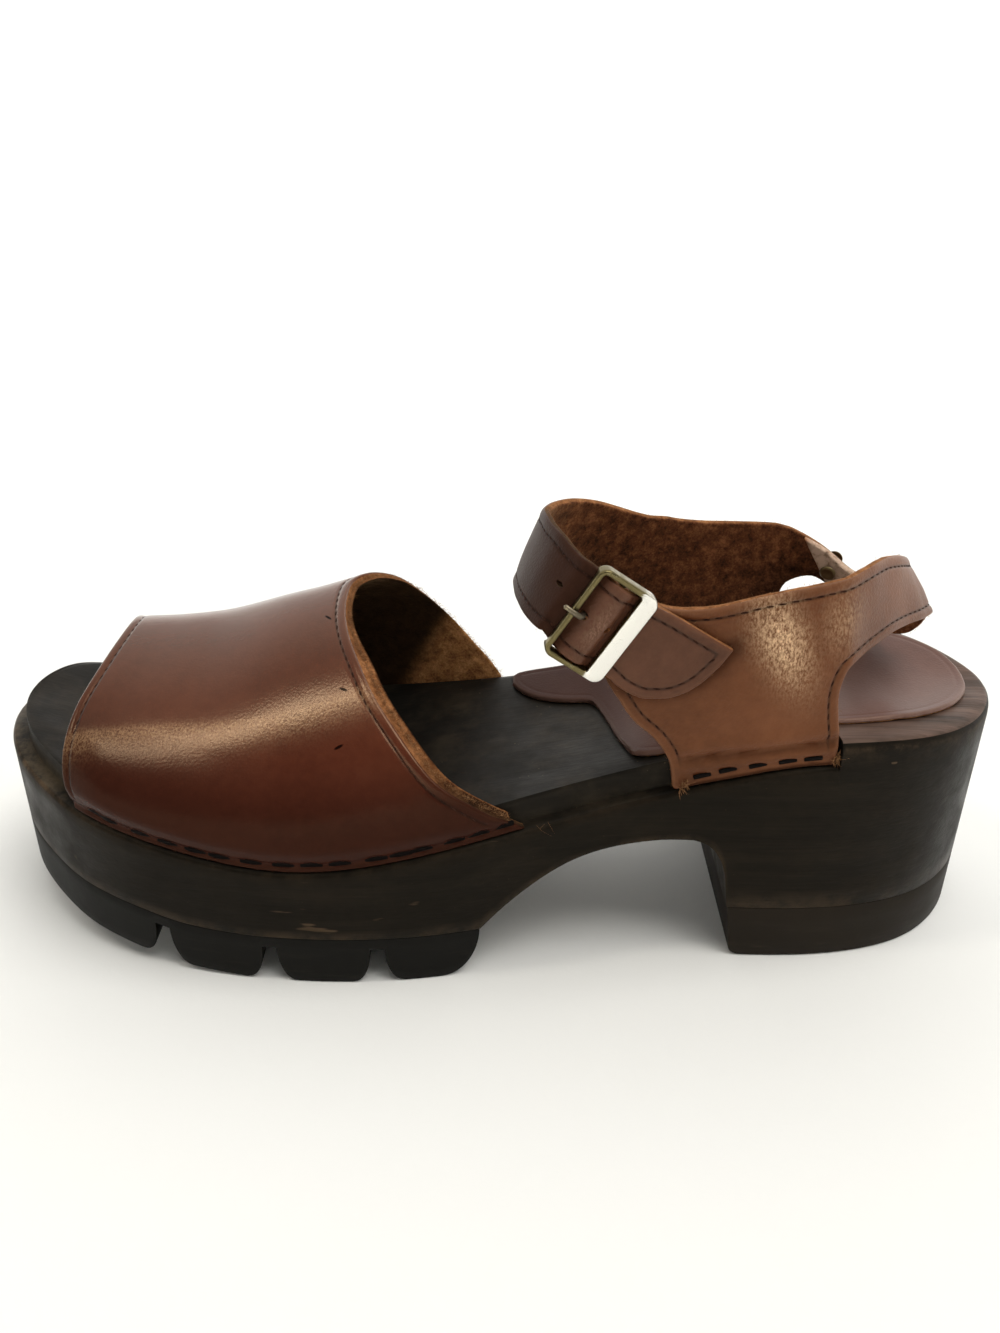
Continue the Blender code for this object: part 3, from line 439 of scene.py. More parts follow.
class Shader:
    """One material's node graph, put together a step at a time."""

    def __init__(self, name: str) -> None:
        """Start a material with a plain Principled shader.

        Args:
            name: the material's name.
        """
        self.material = bpy.data.materials.new(name)
        self.material.use_nodes = True
        self.tree = self.material.node_tree
        self.bsdf = self.tree.nodes["Principled BSDF"]
        self.place = self.node("ShaderNodeTexCoord").outputs["Object"]

    def fill(self, socket: Socket, value: object) -> None:
        """Link a socket to another, or set its value.

        Args:
            socket: the input socket.
            value: an output socket, or a value.
        """
        if isinstance(value, Socket):
            self.tree.links.new(value, socket)
        else:
            socket.default_value = value

    def node(self, kind: str, **inputs: object) -> bpy.types.Node:
        """Add a node and fill its inputs with links or values.

        Args:
            kind: Blender's node type.
            inputs: input names with spaces written as underscores.
        Returns:
            The node.
        """
        made = self.tree.nodes.new(kind)
        for key, value in inputs.items():
            self.fill(made.inputs[key.replace("_", " ")], value)
        return made

    def set(self, **inputs: object) -> None:
        """Fill inputs of the Principled shader."""
        for key, value in inputs.items():
            self.fill(self.bsdf.inputs[key.replace("_", " ")], value)

    def stretched(self, scale: Point) -> Socket:
        """Object coordinates scaled by axis."""
        return self.node("ShaderNodeMapping", Vector=self.place, Scale=scale).outputs["Vector"]

    def axis(self, name: str) -> Socket:
        """One of the object coordinates, in metres."""
        return self.node("ShaderNodeSeparateXYZ", Vector=self.place).outputs[name]

    def noise(
        self, scale: float, detail: float = 3.0, rough: float = 0.5, at: Optional[Socket] = None
    ) -> Socket:
        """Noise from 0 to 1.

        Args:
            scale: cells to the metre.
            detail: octaves.
            rough: strength of the finer octaves.
            at: coordinates, or None for the object's own.
        Returns:
            The noise's value socket.
        """
        vector = self.place if at is None else at
        made = self.node("ShaderNodeTexNoise", Vector=vector, Scale=scale, Detail=detail, Roughness=rough)
        return made.outputs[0]

    def cells(self, scale: float) -> Socket:
        """Distance to the nearest of scattered points."""
        return self.node("ShaderNodeTexVoronoi", Vector=self.place, Scale=scale).outputs["Distance"]

    def value(self, name: str) -> Socket:
        """A number stored on the mesh's points.

        Args:
            name: the stored attribute.
        Returns:
            Its value socket.
        """
        made = self.node("ShaderNodeAttribute")
        made.attribute_name = name
        return made.outputs["Fac"]

    def math(self, operation: str, first: object, second: object = 0.0) -> Socket:
        """Work out one sum on two numbers.

        Args:
            operation: Blender's name for the sum.
            first: first number or socket.
            second: second number or socket.
        Returns:
            The result.
        """
        made = self.tree.nodes.new("ShaderNodeMath")
        made.operation = operation
        self.fill(made.inputs[0], first)
        self.fill(made.inputs[1], second)
        return made.outputs[0]

    def times(self, first: object, second: object) -> Socket:
        """Product of two numbers."""
        return self.math("MULTIPLY", first, second)

    def blend(self, *parts: Tuple[Socket, float]) -> Socket:
        """Sum of values, each times its weight.

        Args:
            parts: value and weight of each part.
        Returns:
            The sum.
        """
        total = self.times(*parts[0])
        for part in parts[1:]:
            total = self.math("ADD", total, self.times(*part))
        return total

    def span(self, value: object, low: float, high: float, start: float = 0.0, end: float = 1.0) -> Socket:
        """Map low..high to start..end along a smooth S, held at both ends.

        Args:
            value: what is mapped.
            low: the value that gives start.
            high: the value that gives end.
            start: result at low.
            end: result at high.
        Returns:
            The mapped value.
        """
        made = self.node(
            "ShaderNodeMapRange", Value=value, From_Min=low, From_Max=high, To_Min=start, To_Max=end
        )
        made.interpolation_type = "SMOOTHSTEP"
        return made.outputs[0]

    def ramp(self, value: object, stops: Sequence[Tuple[float, Colour]]) -> Socket:
        """Colour read from a ramp.

        Args:
            value: where to read it.
            stops: place and colour of each stop.
        Returns:
            The colour.
        """
        made = self.node("ShaderNodeValToRGB", Fac=value)
        fill_ramp(made.color_ramp, stops)
        return made.outputs["Color"]

    def mix(self, share: object, first: object, second: object) -> Socket:
        """Mix two colours.

        Args:
            share: 0 for the first, 1 for the second.
            first: a colour or its socket.
            second: a colour or its socket.
        Returns:
            The mixed colour.
        """
        made = self.tree.nodes.new("ShaderNodeMix")
        made.data_type = "RGBA"
        self.fill(made.inputs[0], share)
        for socket, colour in ((made.inputs[6], first), (made.inputs[7], second)):
            self.fill(socket, (*colour, 1.0) if isinstance(colour, tuple) else colour)
        return made.outputs[2]

    def bump(
        self, height: object, depth: float, strength: float = 1.0, under: Optional[Socket] = None
    ) -> Socket:
        """Turn a height of 0 to 1 into a shading normal.

        Args:
            height: the height socket.
            depth: millimetres from 0 to 1.
            strength: share of the effect.
            under: a normal to build on.
        Returns:
            The normal socket.
        """
        made = self.node("ShaderNodeBump", Height=height, Strength=strength, Distance=depth * MM)
        if under is not None:
            self.fill(made.inputs["Normal"], under)
        return made.outputs["Normal"]


@dataclass(frozen=True)
class Finish:
    """A named look that can be made into a material."""

    name: str

    def dress(self, s: Shader) -> None:
        """Lay the look on a plain shader; every kind of finish has its own."""

    def material(self) -> Material:
        """Make the material.

        Returns:
            The dressed material.
        """
        s = Shader(self.name)
        self.dress(s)
        return s.material


@dataclass(frozen=True)
class LeatherFinish(Finish):
    """Dyed grain leather: cloudy colour, fine pores, a dark stitch groove, worn edges, painted shade and
    painted highlights.
    """

    dark: Colour
    middle: Colour
    light: Colour
    edge: Colour
    roughness: float = 0.36
    grain: float = 0.05
    pore_scale: float = 1500.0
    stitch_inset: float = 2.6
    specular: float = 0.34
    tint: Colour = (1.0, 0.85, 0.7)
    # colour of the painted highlight, mixed into the base colour
    painted_highlight: Colour = (0.62, 0.36, 0.17)
    nicks: Table = ()

    def nick(self, s: Shader, row: Tuple[float, ...]) -> Socket:
        """Small cut: 1 inside a long thin ball round a point, 0 outside it.

        Args:
            s: the shader to add to.
            row: x, y and z in millimetres, turn about Z in degrees, and half length.
        Returns:
            The cut's strength.
        """
        x, y, z, turn, half = row
        made = s.node(
            "ShaderNodeMapping", Vector=s.place, Location=(x * MM, (y + SIDE_SHIFT) * MM, z * MM),
            Rotation=(0.0, 0.0, math.radians(turn)), Scale=(half * MM, 0.4 * MM, 1.5 * MM),
        )
        made.vector_type = "TEXTURE"
        reach = s.node("ShaderNodeVectorMath")
        reach.operation = "LENGTH"
        s.fill(reach.inputs[0], made.outputs["Vector"])
        return s.span(reach.outputs["Value"], 0.5, 1.0, 1.0, 0.0)

    def dress(self, s: Shader) -> None:
        """Lay colour, stitch groove, worn edge, painted shade, painted highlight strokes, pores and cuts.

        Args:
            s: the shader to fill.
        """
        cloud = s.noise(26.0, 4.0, 0.55)
        tone = s.blend((cloud, 0.7), (s.noise(380.0, 4.0, 0.65), 0.3))
        colour = s.ramp(tone, ((0.36, self.dark), (0.5, self.middle), (0.66, self.light)))
        edge = s.value("edge")
        away = s.math("ABSOLUTE", s.math("SUBTRACT", edge, self.stitch_inset))
        groove = s.times(s.span(away, 0.1, 0.55, 1.0, 0.0), s.value("sewn"))
        colour = s.mix(s.times(groove, 0.7), colour, scaled(self.dark, 0.3))
        wear = s.times(s.span(edge, 0.1, 1.3, 1.0, 0.0), s.noise(240.0, 4.0, 0.7))
        colour = s.mix(wear, colour, self.edge)
        # painted shade: the colour darkens by the stored shade value
        shade = s.value("shade")
        colour = s.mix(s.times(shade, 0.8), colour, scaled(self.dark, 0.2, 0.003))
        # painted highlight: speckled strokes of the highlight colour where the stored highlight share is high
        strokes = s.span(s.noise(1.0, 4.0, 0.8, s.stretched((1900.0, 1500.0, 900.0))), 0.34, 0.70)
        colour = s.mix(s.times(s.value("painted_highlight_share"), strokes), colour, self.painted_highlight)
        pores = s.blend((s.cells(self.pore_scale), 0.6), (s.noise(self.pore_scale * 1.7, 3.0, 0.6), 0.6))
        normal = s.bump(pores, self.grain, 1.0, s.bump(s.noise(60.0, 2.0, 0.4), 0.12, 0.2))
        dull = shade
        for row in self.nicks:
            cut = self.nick(s, row)
            colour = s.mix(cut, colour, scaled(self.dark, 0.1))
            dull = s.math("MAXIMUM", dull, cut)
        rough = s.span(cloud, 0.3, 0.7, self.roughness - 0.02, self.roughness + 0.03)
        level = s.span(dull, 0.0, 1.0, self.specular, 0.12 * self.specular)
        s.set(Base_Color=colour, Roughness=rough, Normal=normal, Specular_IOR_Level=level)
        s.set(Specular_Tint=(*self.tint, 1.0))


@dataclass(frozen=True)
class SuedeFinish(Finish):
    """Flesh side of the leather: matted nap, dark in its hollows and golden on its tips."""

    dark: Colour
    middle: Colour
    light: Colour
    depth: float = 0.5
    pale: Colour = (0.62, 0.45, 0.33)

    def dress(self, s: Shader) -> None:
        """Lay clumps and fibres, with painted shade where shaded and pale flecks where the stored pale value
        is set.

        Args:
            s: the shader to fill.
        """
        clump = s.noise(300.0, 5.0, 0.7)
        tone = s.blend((clump, 0.6), (s.noise(1500.0, 4.0, 0.75), 0.4))
        colour = s.ramp(tone, ((0.38, self.dark), (0.5, self.middle), (0.64, self.light)))
        # painted shade: darkens by the stored shade value
        colour = s.mix(s.times(s.value("shade"), 0.96), colour, scaled(self.dark, 0.05))
        # pale flecks: partly the flesh's own paler tone, partly painted light on the sling's end
        colour = s.mix(s.times(s.value("pale"), s.span(clump, 0.25, 0.55)), colour, self.pale)
        s.set(Base_Color=colour, Roughness=0.95, Normal=s.bump(tone, self.depth, 0.9))
        s.set(Sheen_Weight=0.2, Sheen_Roughness=0.45, Specular_IOR_Level=0.1)
        s.set(Sheen_Tint=(0.9, 0.55, 0.28, 1.0))


@dataclass(frozen=True)
class WoodFinish(Finish):
    """Stained wood: long streaks of grain, scratches, dust and worn edges."""

    dark: Colour
    middle: Colour
    light: Colour
    worn: Colour
    roughness: float = 0.4
    streak: float = 1.0
    dust: float = 0.1
    specular: float = 0.22

    def dress(self, s: Shader) -> None:
        """Lay grain, scratches, specks, haze and wear.

        Args:
            s: the shader to fill.
        """
        long_grain = s.noise(1.0, 5.0, 0.62, s.stretched((14.0, 260.0, 260.0)))
        fine_grain = s.noise(1.0, 4.0, 0.6, s.stretched((40.0, 1300.0, 1300.0)))
        tone = s.blend((long_grain, 0.5), (fine_grain, 0.22), (s.noise(22.0, 4.0, 0.6), 0.28))
        colour = s.ramp(tone, ((0.36, self.dark), (0.52, self.middle), (0.7, self.light)))
        scratch = s.span(s.noise(1.0, 2.0, 0.5, s.stretched((60.0, 900.0, 420.0))), 0.70, 0.76)
        scratch = s.times(scratch, s.span(s.noise(35.0), 0.5, 0.62))
        specks = s.times(s.span(s.cells(420.0), 0.10, 0.05), s.span(s.noise(60.0, 2.0), 0.48, 0.62))
        marks = s.math("MAXIMUM", s.times(scratch, 0.55), s.times(specks, self.dust * 4.0))
        haze = s.times(s.span(s.noise(48.0, 5.0, 0.7), 0.45, 0.75), self.dust)
        wear = s.times(s.value("wear"), s.span(s.noise(90.0, 5.0, 0.75), 0.35, 0.65))
        for share in (marks, haze, wear):
            colour = s.mix(share, colour, self.worn)
        normal = s.bump(long_grain, 0.25 * self.streak, 0.5)
        normal = s.bump(fine_grain, 0.08 * self.streak, 0.6, normal)
        rough = s.span(s.noise(70.0, 4.0, 0.6), 0.3, 0.7, self.roughness - 0.08, self.roughness + 0.12)
        s.set(Base_Color=colour, Roughness=rough, Normal=normal, Specular_IOR_Level=self.specular)
        s.set(Specular_Tint=(1.0, 0.86, 0.68, 1.0))


@dataclass(frozen=True)
class RubberFinish(Finish):
    """Moulded rubber: even and dark, with fine pits and pale scuffs low down."""

    base: Colour
    scuff: Colour
    roughness: float = 0.52

    def dress(self, s: Shader) -> None:
        """Lay clouds, scuffs that fade upwards, and pits.

        Args:
            s: the shader to fill.
        """
        cloud = s.noise(30.0, 5.0, 0.6)
        rub = s.noise(1.0, 4.0, 0.65, s.stretched((60.0, 220.0, 500.0)))
        marks = s.times(s.span(rub, 0.52, 0.78), s.span(s.axis("Z"), 0.0, 0.012, 1.0, 0.15))
        colour = s.ramp(cloud, ((0.3, scaled(self.base, 0.75)), (0.7, scaled(self.base, 1.2))))
        colour = s.mix(s.times(marks, 0.5), colour, self.scuff)
        normal = s.bump(s.noise(900.0, 3.0, 0.6), 0.06, 0.5)
        rough = s.span(cloud, 0.3, 0.7, self.roughness - 0.05, self.roughness + 0.1)
        s.set(Base_Color=colour, Roughness=rough, Normal=normal, Specular_IOR_Level=0.1)


@dataclass(frozen=True)
class BrassFinish(Finish):
    """Aged brass: olive patina in patches, bare and bright where it is worn."""

    bright: Colour
    patina: Colour
    roughness: float = 0.24
    wear_and_highlight: float = 0.5

    def dress(self, s: Shader) -> None:
        """Lay patina and bare metal by patches and by the stored shine.

        Args:
            s: the shader to fill.
        """
        cloud = s.noise(420.0, 5.0, 0.65)
        shine = s.value("shine")
        bare = s.span(s.blend((cloud, 0.6), (shine, self.wear_and_highlight)), 0.44, 0.82)
        dull = s.span(cloud, 0.3, 0.7, self.roughness + 0.3, self.roughness + 0.1)
        rough = s.math("SUBTRACT", dull, s.times(shine, 0.16))
        normal = s.bump(s.blend((cloud, 0.7), (s.noise(2600.0, 3.0, 0.6), 0.3)), 0.05, 0.5)
        colour = s.mix(bare, self.patina, self.bright)
        s.set(Base_Color=colour, Roughness=rough, Normal=normal, Metallic=1.0)


@dataclass(frozen=True)
class ThreadFinish(Finish):
    """Twisted thread or loose fibre: one dyed colour with light and dark turns."""

    dark: Colour
    light: Colour
    roughness: float = 0.7

    def dress(self, s: Shader) -> None:
        """Lay the two tones and a fine twist.

        Args:
            s: the shader to fill.
        """
        tone = s.noise(1400.0, 3.0, 0.6)
        s.set(Base_Color=s.ramp(tone, ((0.35, self.dark), (0.65, self.light))), Roughness=self.roughness)
        s.set(Normal=s.bump(s.noise(3500.0, 2.0), 0.08, 0.6), Specular_IOR_Level=0.08)


@dataclass(frozen=True)
class ClothFinish(Finish):
    """Pale floor cloth: nearly white, with a faint weave, and lit through towards the back."""

    base: Colour

    def dress(self, s: Shader) -> None:
        """Lay the pale tone, the weave and the light from behind.

        Args:
            s: the shader to fill.
        """
        tones = ((0.35, scaled(self.base, 0.985)), (0.65, self.base))
        s.set(Base_Color=s.ramp(s.noise(6.0, 3.0, 0.5), tones), Roughness=0.9)
        s.set(Normal=s.bump(s.noise(700.0, 3.0), 0.15, 0.25), Specular_IOR_Level=0.2)
        glow = s.span(s.axis("Y"), 0.1, 0.8, 0.0, 0.75)
        s.set(Emission_Color=(1.0, 1.0, 1.0, 1.0), Emission_Strength=glow)


@dataclass
class Finishes:
    """Every material of the shoe, made once."""

    # The leathers' highlight colours below are painted highlights, mixed into the base colour where a piece
    # stores a highlight share.
    vamp: LeatherFinish = LeatherFinish(
        "vamp_grain", (0.058, 0.0125, 0.0056), (0.076, 0.0175, 0.0080), (0.094, 0.0235, 0.0110),
        (0.105, 0.034, 0.015), 0.225, 0.030, 1300.0, specular=0.62, tint=(1.0, 0.72, 0.47),
        painted_highlight=(0.60, 0.36, 0.18), nicks=(
            (-43.2, 0.7, 80.8, -49.0, 1.9), (-36.9, -22.4, 72.4, -27.0, 1.5), (-37.2, -34.0, 62.9, 16.0, 1.6),
        ),
    )
    quarter: LeatherFinish = LeatherFinish(
        "quarter_grain", (0.089, 0.0268, 0.0095), (0.122, 0.0385, 0.0143), (0.156, 0.0520, 0.0200),
        (0.19, 0.080, 0.038), 0.40, 0.085, specular=0.30, tint=(1.0, 0.74, 0.50), painted_highlight=(0.92, 0.62, 0.37),
    )
    strap: LeatherFinish = LeatherFinish(
        "strap_grain", (0.066, 0.024, 0.0125), (0.088, 0.033, 0.0175), (0.112, 0.044, 0.024),
        (0.13, 0.050, 0.025), 0.42, 0.095, specular=0.26, painted_highlight=(0.30, 0.18, 0.12),
    )
    pad: LeatherFinish = LeatherFinish(
        "pad_grain", (0.086, 0.034, 0.024), (0.104, 0.043, 0.030), (0.126, 0.055, 0.039),
        (0.19, 0.115, 0.088), 0.38, 0.04, stitch_inset=90.0, specular=0.38, tint=(1.0, 0.8, 0.66),
    )
    suede: SuedeFinish = SuedeFinish(
        "vamp_flesh_side", (0.140, 0.056, 0.017), (0.350, 0.155, 0.055), (0.620, 0.300, 0.120),
    )
    strap_suede: SuedeFinish = SuedeFinish(
        "strap_flesh_side", (0.028, 0.0085, 0.0034), (0.118, 0.040, 0.0155), (0.290, 0.112, 0.044),
    )
    raw_edge: SuedeFinish = SuedeFinish(
        "raw_edge", (0.100, 0.034, 0.012), (0.220, 0.086, 0.030), (0.420, 0.185, 0.072), 0.45,
    )
    wood: WoodFinish = WoodFinish(
        "stained_wood", (0.0036, 0.0029, 0.0020), (0.0062, 0.0049, 0.0033), (0.0125, 0.0090, 0.0056),
        (0.100, 0.064, 0.036), 0.42, 1.0, 0.035, 0.09,
    )
    rim: WoodFinish = WoodFinish(
        "rim_wood", (0.028, 0.016, 0.011), (0.100, 0.060, 0.045), (0.195, 0.124, 0.096),
        (0.21, 0.145, 0.110), 0.48, 1.6, 0.06, 0.2,
    )
    footbed: WoodFinish = WoodFinish(
        "footbed_stain", (0.0036, 0.0033, 0.0029), (0.0064, 0.0056, 0.0046), (0.0135, 0.0108, 0.0080),
        (0.088, 0.064, 0.038), 0.44, 0.8, 0.20, 0.13,
    )
    tread: RubberFinish = RubberFinish("tread_rubber", (0.0046, 0.0040, 0.0027), (0.030, 0.024, 0.017), 0.5)
    lift: RubberFinish = RubberFinish(
        "lift_rubber_face", (0.0135, 0.0095, 0.0056), (0.045, 0.034, 0.023), 0.5,
    )
    brass: BrassFinish = BrassFinish("frame_aged_brass", (0.82, 0.80, 0.74), (0.15, 0.122, 0.055), 0.16, 0.75)
    prong: BrassFinish = BrassFinish("prong_aged_brass", (0.36, 0.30, 0.19), (0.12, 0.10, 0.07), 0.3, 0.3)
    rivet: BrassFinish = BrassFinish("rivet_aged_brass", (0.45, 0.34, 0.15), (0.17, 0.125, 0.06), 0.28, 0.5)
    staple: BrassFinish = BrassFinish("staple_steel", (0.016, 0.012, 0.011), (0.008, 0.0065, 0.006), 0.4, 0.1)
    thread: ThreadFinish = ThreadFinish("seam_thread", (0.011, 0.0040, 0.0022), (0.046, 0.0165, 0.0090))
    fibre: ThreadFinish = ThreadFinish("loose_fibre", (0.12, 0.052, 0.02), (0.32, 0.17, 0.08), 0.85)
    made: Dict[str, Material] = field(default_factory=dict)

    def pick(self, *names: str) -> List[Material]:
        """Return materials, making each the first time it is asked for.

        Args:
            names: field names of the finishes.
        Returns:
            Their materials, in that order.
        """
        for name in names:
            if name not in self.made:
                self.made[name] = getattr(self, name).material()
        return [self.made[name] for name in names]


@dataclass
class SoleForm:
    """Shape rules of the sole: outline, footbed, rebate, arch and tread."""

    length: float = 265.0
    edge_ease: float = 2.0
    rebate_depth: float = 6.9
    rebate_end: float = 83.6
    fit_gap: float = 0.3
    joint_gap: float = 0.06
    heel_taper: float = 0.4
    taper_start: float = 50.0
    tread_thickness: float = 14.2
    lift_height: float = 16.2
    breast_foot: float = 62.6
    outline: Table = (
        (-132.5, 8.0, 8.0), (-130.0, -5.0, 21.5), (-125.0, -14.3, 29.6), (-117.0, -23.4, 34.5),
        (-107.0, -31.9, 36.9), (-92.0, -39.5, 38.7), (-75.0, -44.1, 40.1), (-50.0, -47.4, 40.2),
        (-30.0, -47.6, 37.6), (-10.0, -45.0, 34.2), (10.0, -40.1, 32.3), (30.0, -36.6, 31.8),
        (52.0, -36.6, 32.0), (75.0, -37.6, 32.4), (95.0, -35.8, 32.4), (112.0, -29.8, 29.0),
        (124.0, -19.2, 20.8), (130.0, -9.0, 12.0), (132.5, 2.2, 2.2),
    )
    footbed: Table = (
        (-132.5, 55.8, 0.0), (-118.0, 52.4, 1.0), (-100.0, 48.6, 1.8), (-75.0, 43.7, 2.2),
        (-50.0, 41.0, 2.4), (-30.0, 42.9, 2.2), (-10.0, 46.4, 1.8), (10.0, 49.9, 1.6),
        (30.0, 54.1, 1.8), (44.0, 57.9, 2.2), (57.0, 61.5, 2.8), (68.0, 64.5, 3.2),
        (80.0, 66.4, 3.6), (90.0, 66.6, 3.8), (101.0, 66.1, 3.6), (115.0, 65.0, 2.4),
        (132.5, 62.6, 0.0),
    )
    arch: Table = (
        (-3.0, 14.2), (3.0, 20.2), (14.0, 28.6), (21.0, 32.3), (28.0, 34.6), (36.0, 36.2),
        (44.0, 37.2), (49.5, 37.3), (54.0, 35.9), (57.2, 32.2), (59.0, 27.5), (60.1, 21.0),
        (60.7, 16.2),
    )
    tread: Table = (
        (-134.0, 13.0), (-127.0, 11.0), (-118.0, 8.6), (-108.0, 6.6), (-98.0, 5.2), (-90.0, 3.8),
        (-78.0, 1.4), (-66.0, 0.4), (-57.0, 0.0), (-3.0, 0.0),
    )

    def within(self, x: Array) -> Array:
        """Hold stations between toe and heel tip."""
        return np.clip(x, -0.5 * self.length, 0.5 * self.length)

    def turn(self, x: Array) -> Array:
        """Angle from 0 at the toe to pi at the heel of a station along the shoe."""
        return np.pi - np.arccos(np.clip(2.0 * np.asarray(x, dtype=float) / self.length, -1.0, 1.0))

    def edges(self, x: Array) -> Lines:
        """Outer and inner edge of the sole: natural splines over the toe-to-heel angle.

        Args:
            x: stations.
        Returns:
            Y of the outer and of the inner edge.
        """
        station, outer, inner = columns(self.outline)
        knots = self.turn(station)
        return spline(knots, outer, self.turn(x)), spline(knots, inner, self.turn(x))

    def side(self, x: Array, side: Side) -> Lines:
        """One side of the outline and its outward normals.

        Args:
            x: stations.
            side: which side.
        Returns:
            Points and unit normals, two numbers each.
        """
        angle = self.turn(x)
        before, after = (np.clip(angle + step, 0.0, np.pi) for step in (-1e-3, 1e-3))
        half = 0.5 * self.length
        ahead, behind = (self.edges(-half * np.cos(place))[side.value] for place in (after, before))
        tangent = unit(np.stack([half * np.sin(angle) * (after - before), ahead - behind], axis=1))
        normal = side.out() * np.stack([-tangent[:, 1], tangent[:, 0]], axis=1)
        return np.stack([x, self.edges(x)[side.value]], axis=1), normal

    def edge_height(self, x: Array) -> Array:
        """Height of the footbed's edge."""
        station, edge, _ = columns(self.footbed)
        return spline(station, edge, x)

    def bed_height(self, x: Array, y: Array) -> Array:
        """Height of the dished footbed: the edge less dish times (1 - across squared) squared.

        Args:
            x: stations.
            y: places across.
        Returns:
            Heights.
        """
        station, _, dish = columns(self.footbed)
        outer, inner = self.edges(x)
        low = outer + self.edge_ease
        high = inner - self.edge_ease
        across = np.clip(2.0 * (y - low) / np.maximum(high - low, 1.0) - 1.0, -1.0, 1.0)
        return self.edge_height(x) - steady(station, dish, x) * (1.0 - across ** 2) ** 2

    def ledge_height(self, x: Array) -> Array:
        """Height of the rebate's ledge."""
        return self.edge_height(x) - self.rebate_depth

    def ledge_slope(self, x: Array) -> Array:
        """Rise of the ledge for each millimetre along."""
        return 0.5 * (self.ledge_height(x + 1.0) - self.ledge_height(x - 1.0))

    def tread_under(self, x: Array) -> Array:
        """Height of the tread's underside without its grooves."""
        station, under = columns(self.tread)
        return steady(station, under, x)

    def wood_under(self, x: Array) -> Array:
        """Height of the wood's underside: tread joint, arch curve, then the lift's joint.

        Args:
            x: stations.
        Returns:
            Heights.
        """
        station, height = columns(self.arch)
        row = np.arange(len(station), dtype=float)
        fine = np.linspace(0.0, len(station) - 1.0, 800)
        arch = np.interp(x, steady(row, station, fine), steady(row, height, fine))
        joint = self.tread_under(x) + self.tread_thickness
        return np.where(x < station[0], joint, np.where(x > station[-1], self.lift_height, arch))


@dataclass
class SoleSlab:
    """A body under the sole's outline, built as two side strips and two caps."""

    form: SoleForm
    stations: Array
    insets: List[Array]
    heights: List[Array]
    wall_slots: Sequence[int]
    cap_steps: int = 6
    cap_slot: int = 0
    cap_on_bed: bool = False
    heel: Optional[Array] = None
    heel_slots: Sequence[int] = ()

    def strip(self, side: Side) -> Array:
        """Points of one side: the outline moved in along its normals, row by row.

        Args:
            side: which side.
        Returns:
            Grid of stations by rows.
        """
        form = self.form
        edge, normal = form.side(self.stations, side)
        height = np.stack(self.heights, axis=1)
        reach = (self.stations - form.taper_start) / (0.5 * form.length - form.taper_start)
        taper = form.heel_taper * np.clip(reach, 0.0, 1.0) ** 0.5
        level = 1.0 - height / (form.edge_height(self.stations) - form.edge_ease)[:, None]
        inset = np.stack(self.insets, axis=1) + taper[:, None] * np.clip(level, 0.0, 1.0)
        flat = edge[:, None, :] - inset[:, :, None] * normal[:, None, :]
        return np.concatenate([flat, height[:, :, None]], axis=2)

    def recolour(self, part: Surface, row: int) -> Surface:
        """Give the quads behind the rebate their own finish number.

        Args:
            part: a strip or the footbed.
            row: its row in heel_slots.
        Returns:
            The same part.
        """
        if self.heel is not None:
            steps = len(part.slots[0]) // (len(self.stations) - 1)
            behind = np.repeat(self.heel[:-1], steps)
            part.slots = [np.where(behind, self.heel_slots[row], part.slots[0])]
        return part

    def cap(self, first: Array, last: Array, steps: int, slot: int, bed: bool = False) -> Surface:
        """Ruled surface between the two sides, dished if it is the footbed.

        Args:
            first: points of the outer side.
            last: points of the inner side.
            steps: quads across.
            slot: finish number.
            bed: whether it is the footbed.
        Returns:
            The open surface.
        """
        share = np.linspace(0.0, 1.0, steps + 1)[None, :, None]
        grid = first[:, None, :] * (1.0 - share) + last[:, None, :] * share
        if bed:
            grid[:, 1:-1, 2] = self.form.bed_height(grid[:, 1:-1, 0], grid[:, 1:-1, 1])
        return Surface.of_grid(grid, slot)

    def surface(self) -> Surface:
        """Put strips and caps together.

        Returns:
            The closed surface.
        """
        outer, inner = self.strip(Side.OUTER), self.strip(Side.INNER)
        parts = [
            self.recolour(Surface.of_grid(strip[:, row: row + 2], slot), row)
            for strip in (outer, inner) for row, slot in enumerate(self.wall_slots)
        ]
        bed = self.cap(outer[:, -1], inner[:, -1], self.cap_steps, self.cap_slot, self.cap_on_bed)
        parts += [self.recolour(bed, -1), self.cap(outer[:, 0], inner[:, 0], 6, self.wall_slots[0])]
        for part in parts[1:]:
            parts[0].add(part)
        return parts[0]


@dataclass(frozen=True)
class Lip:
    """Eased foot of a rubber wall, the rows above it, and how the wall's top is drawn in."""

    size: float
    rows: int
    crown: float
    draw: float


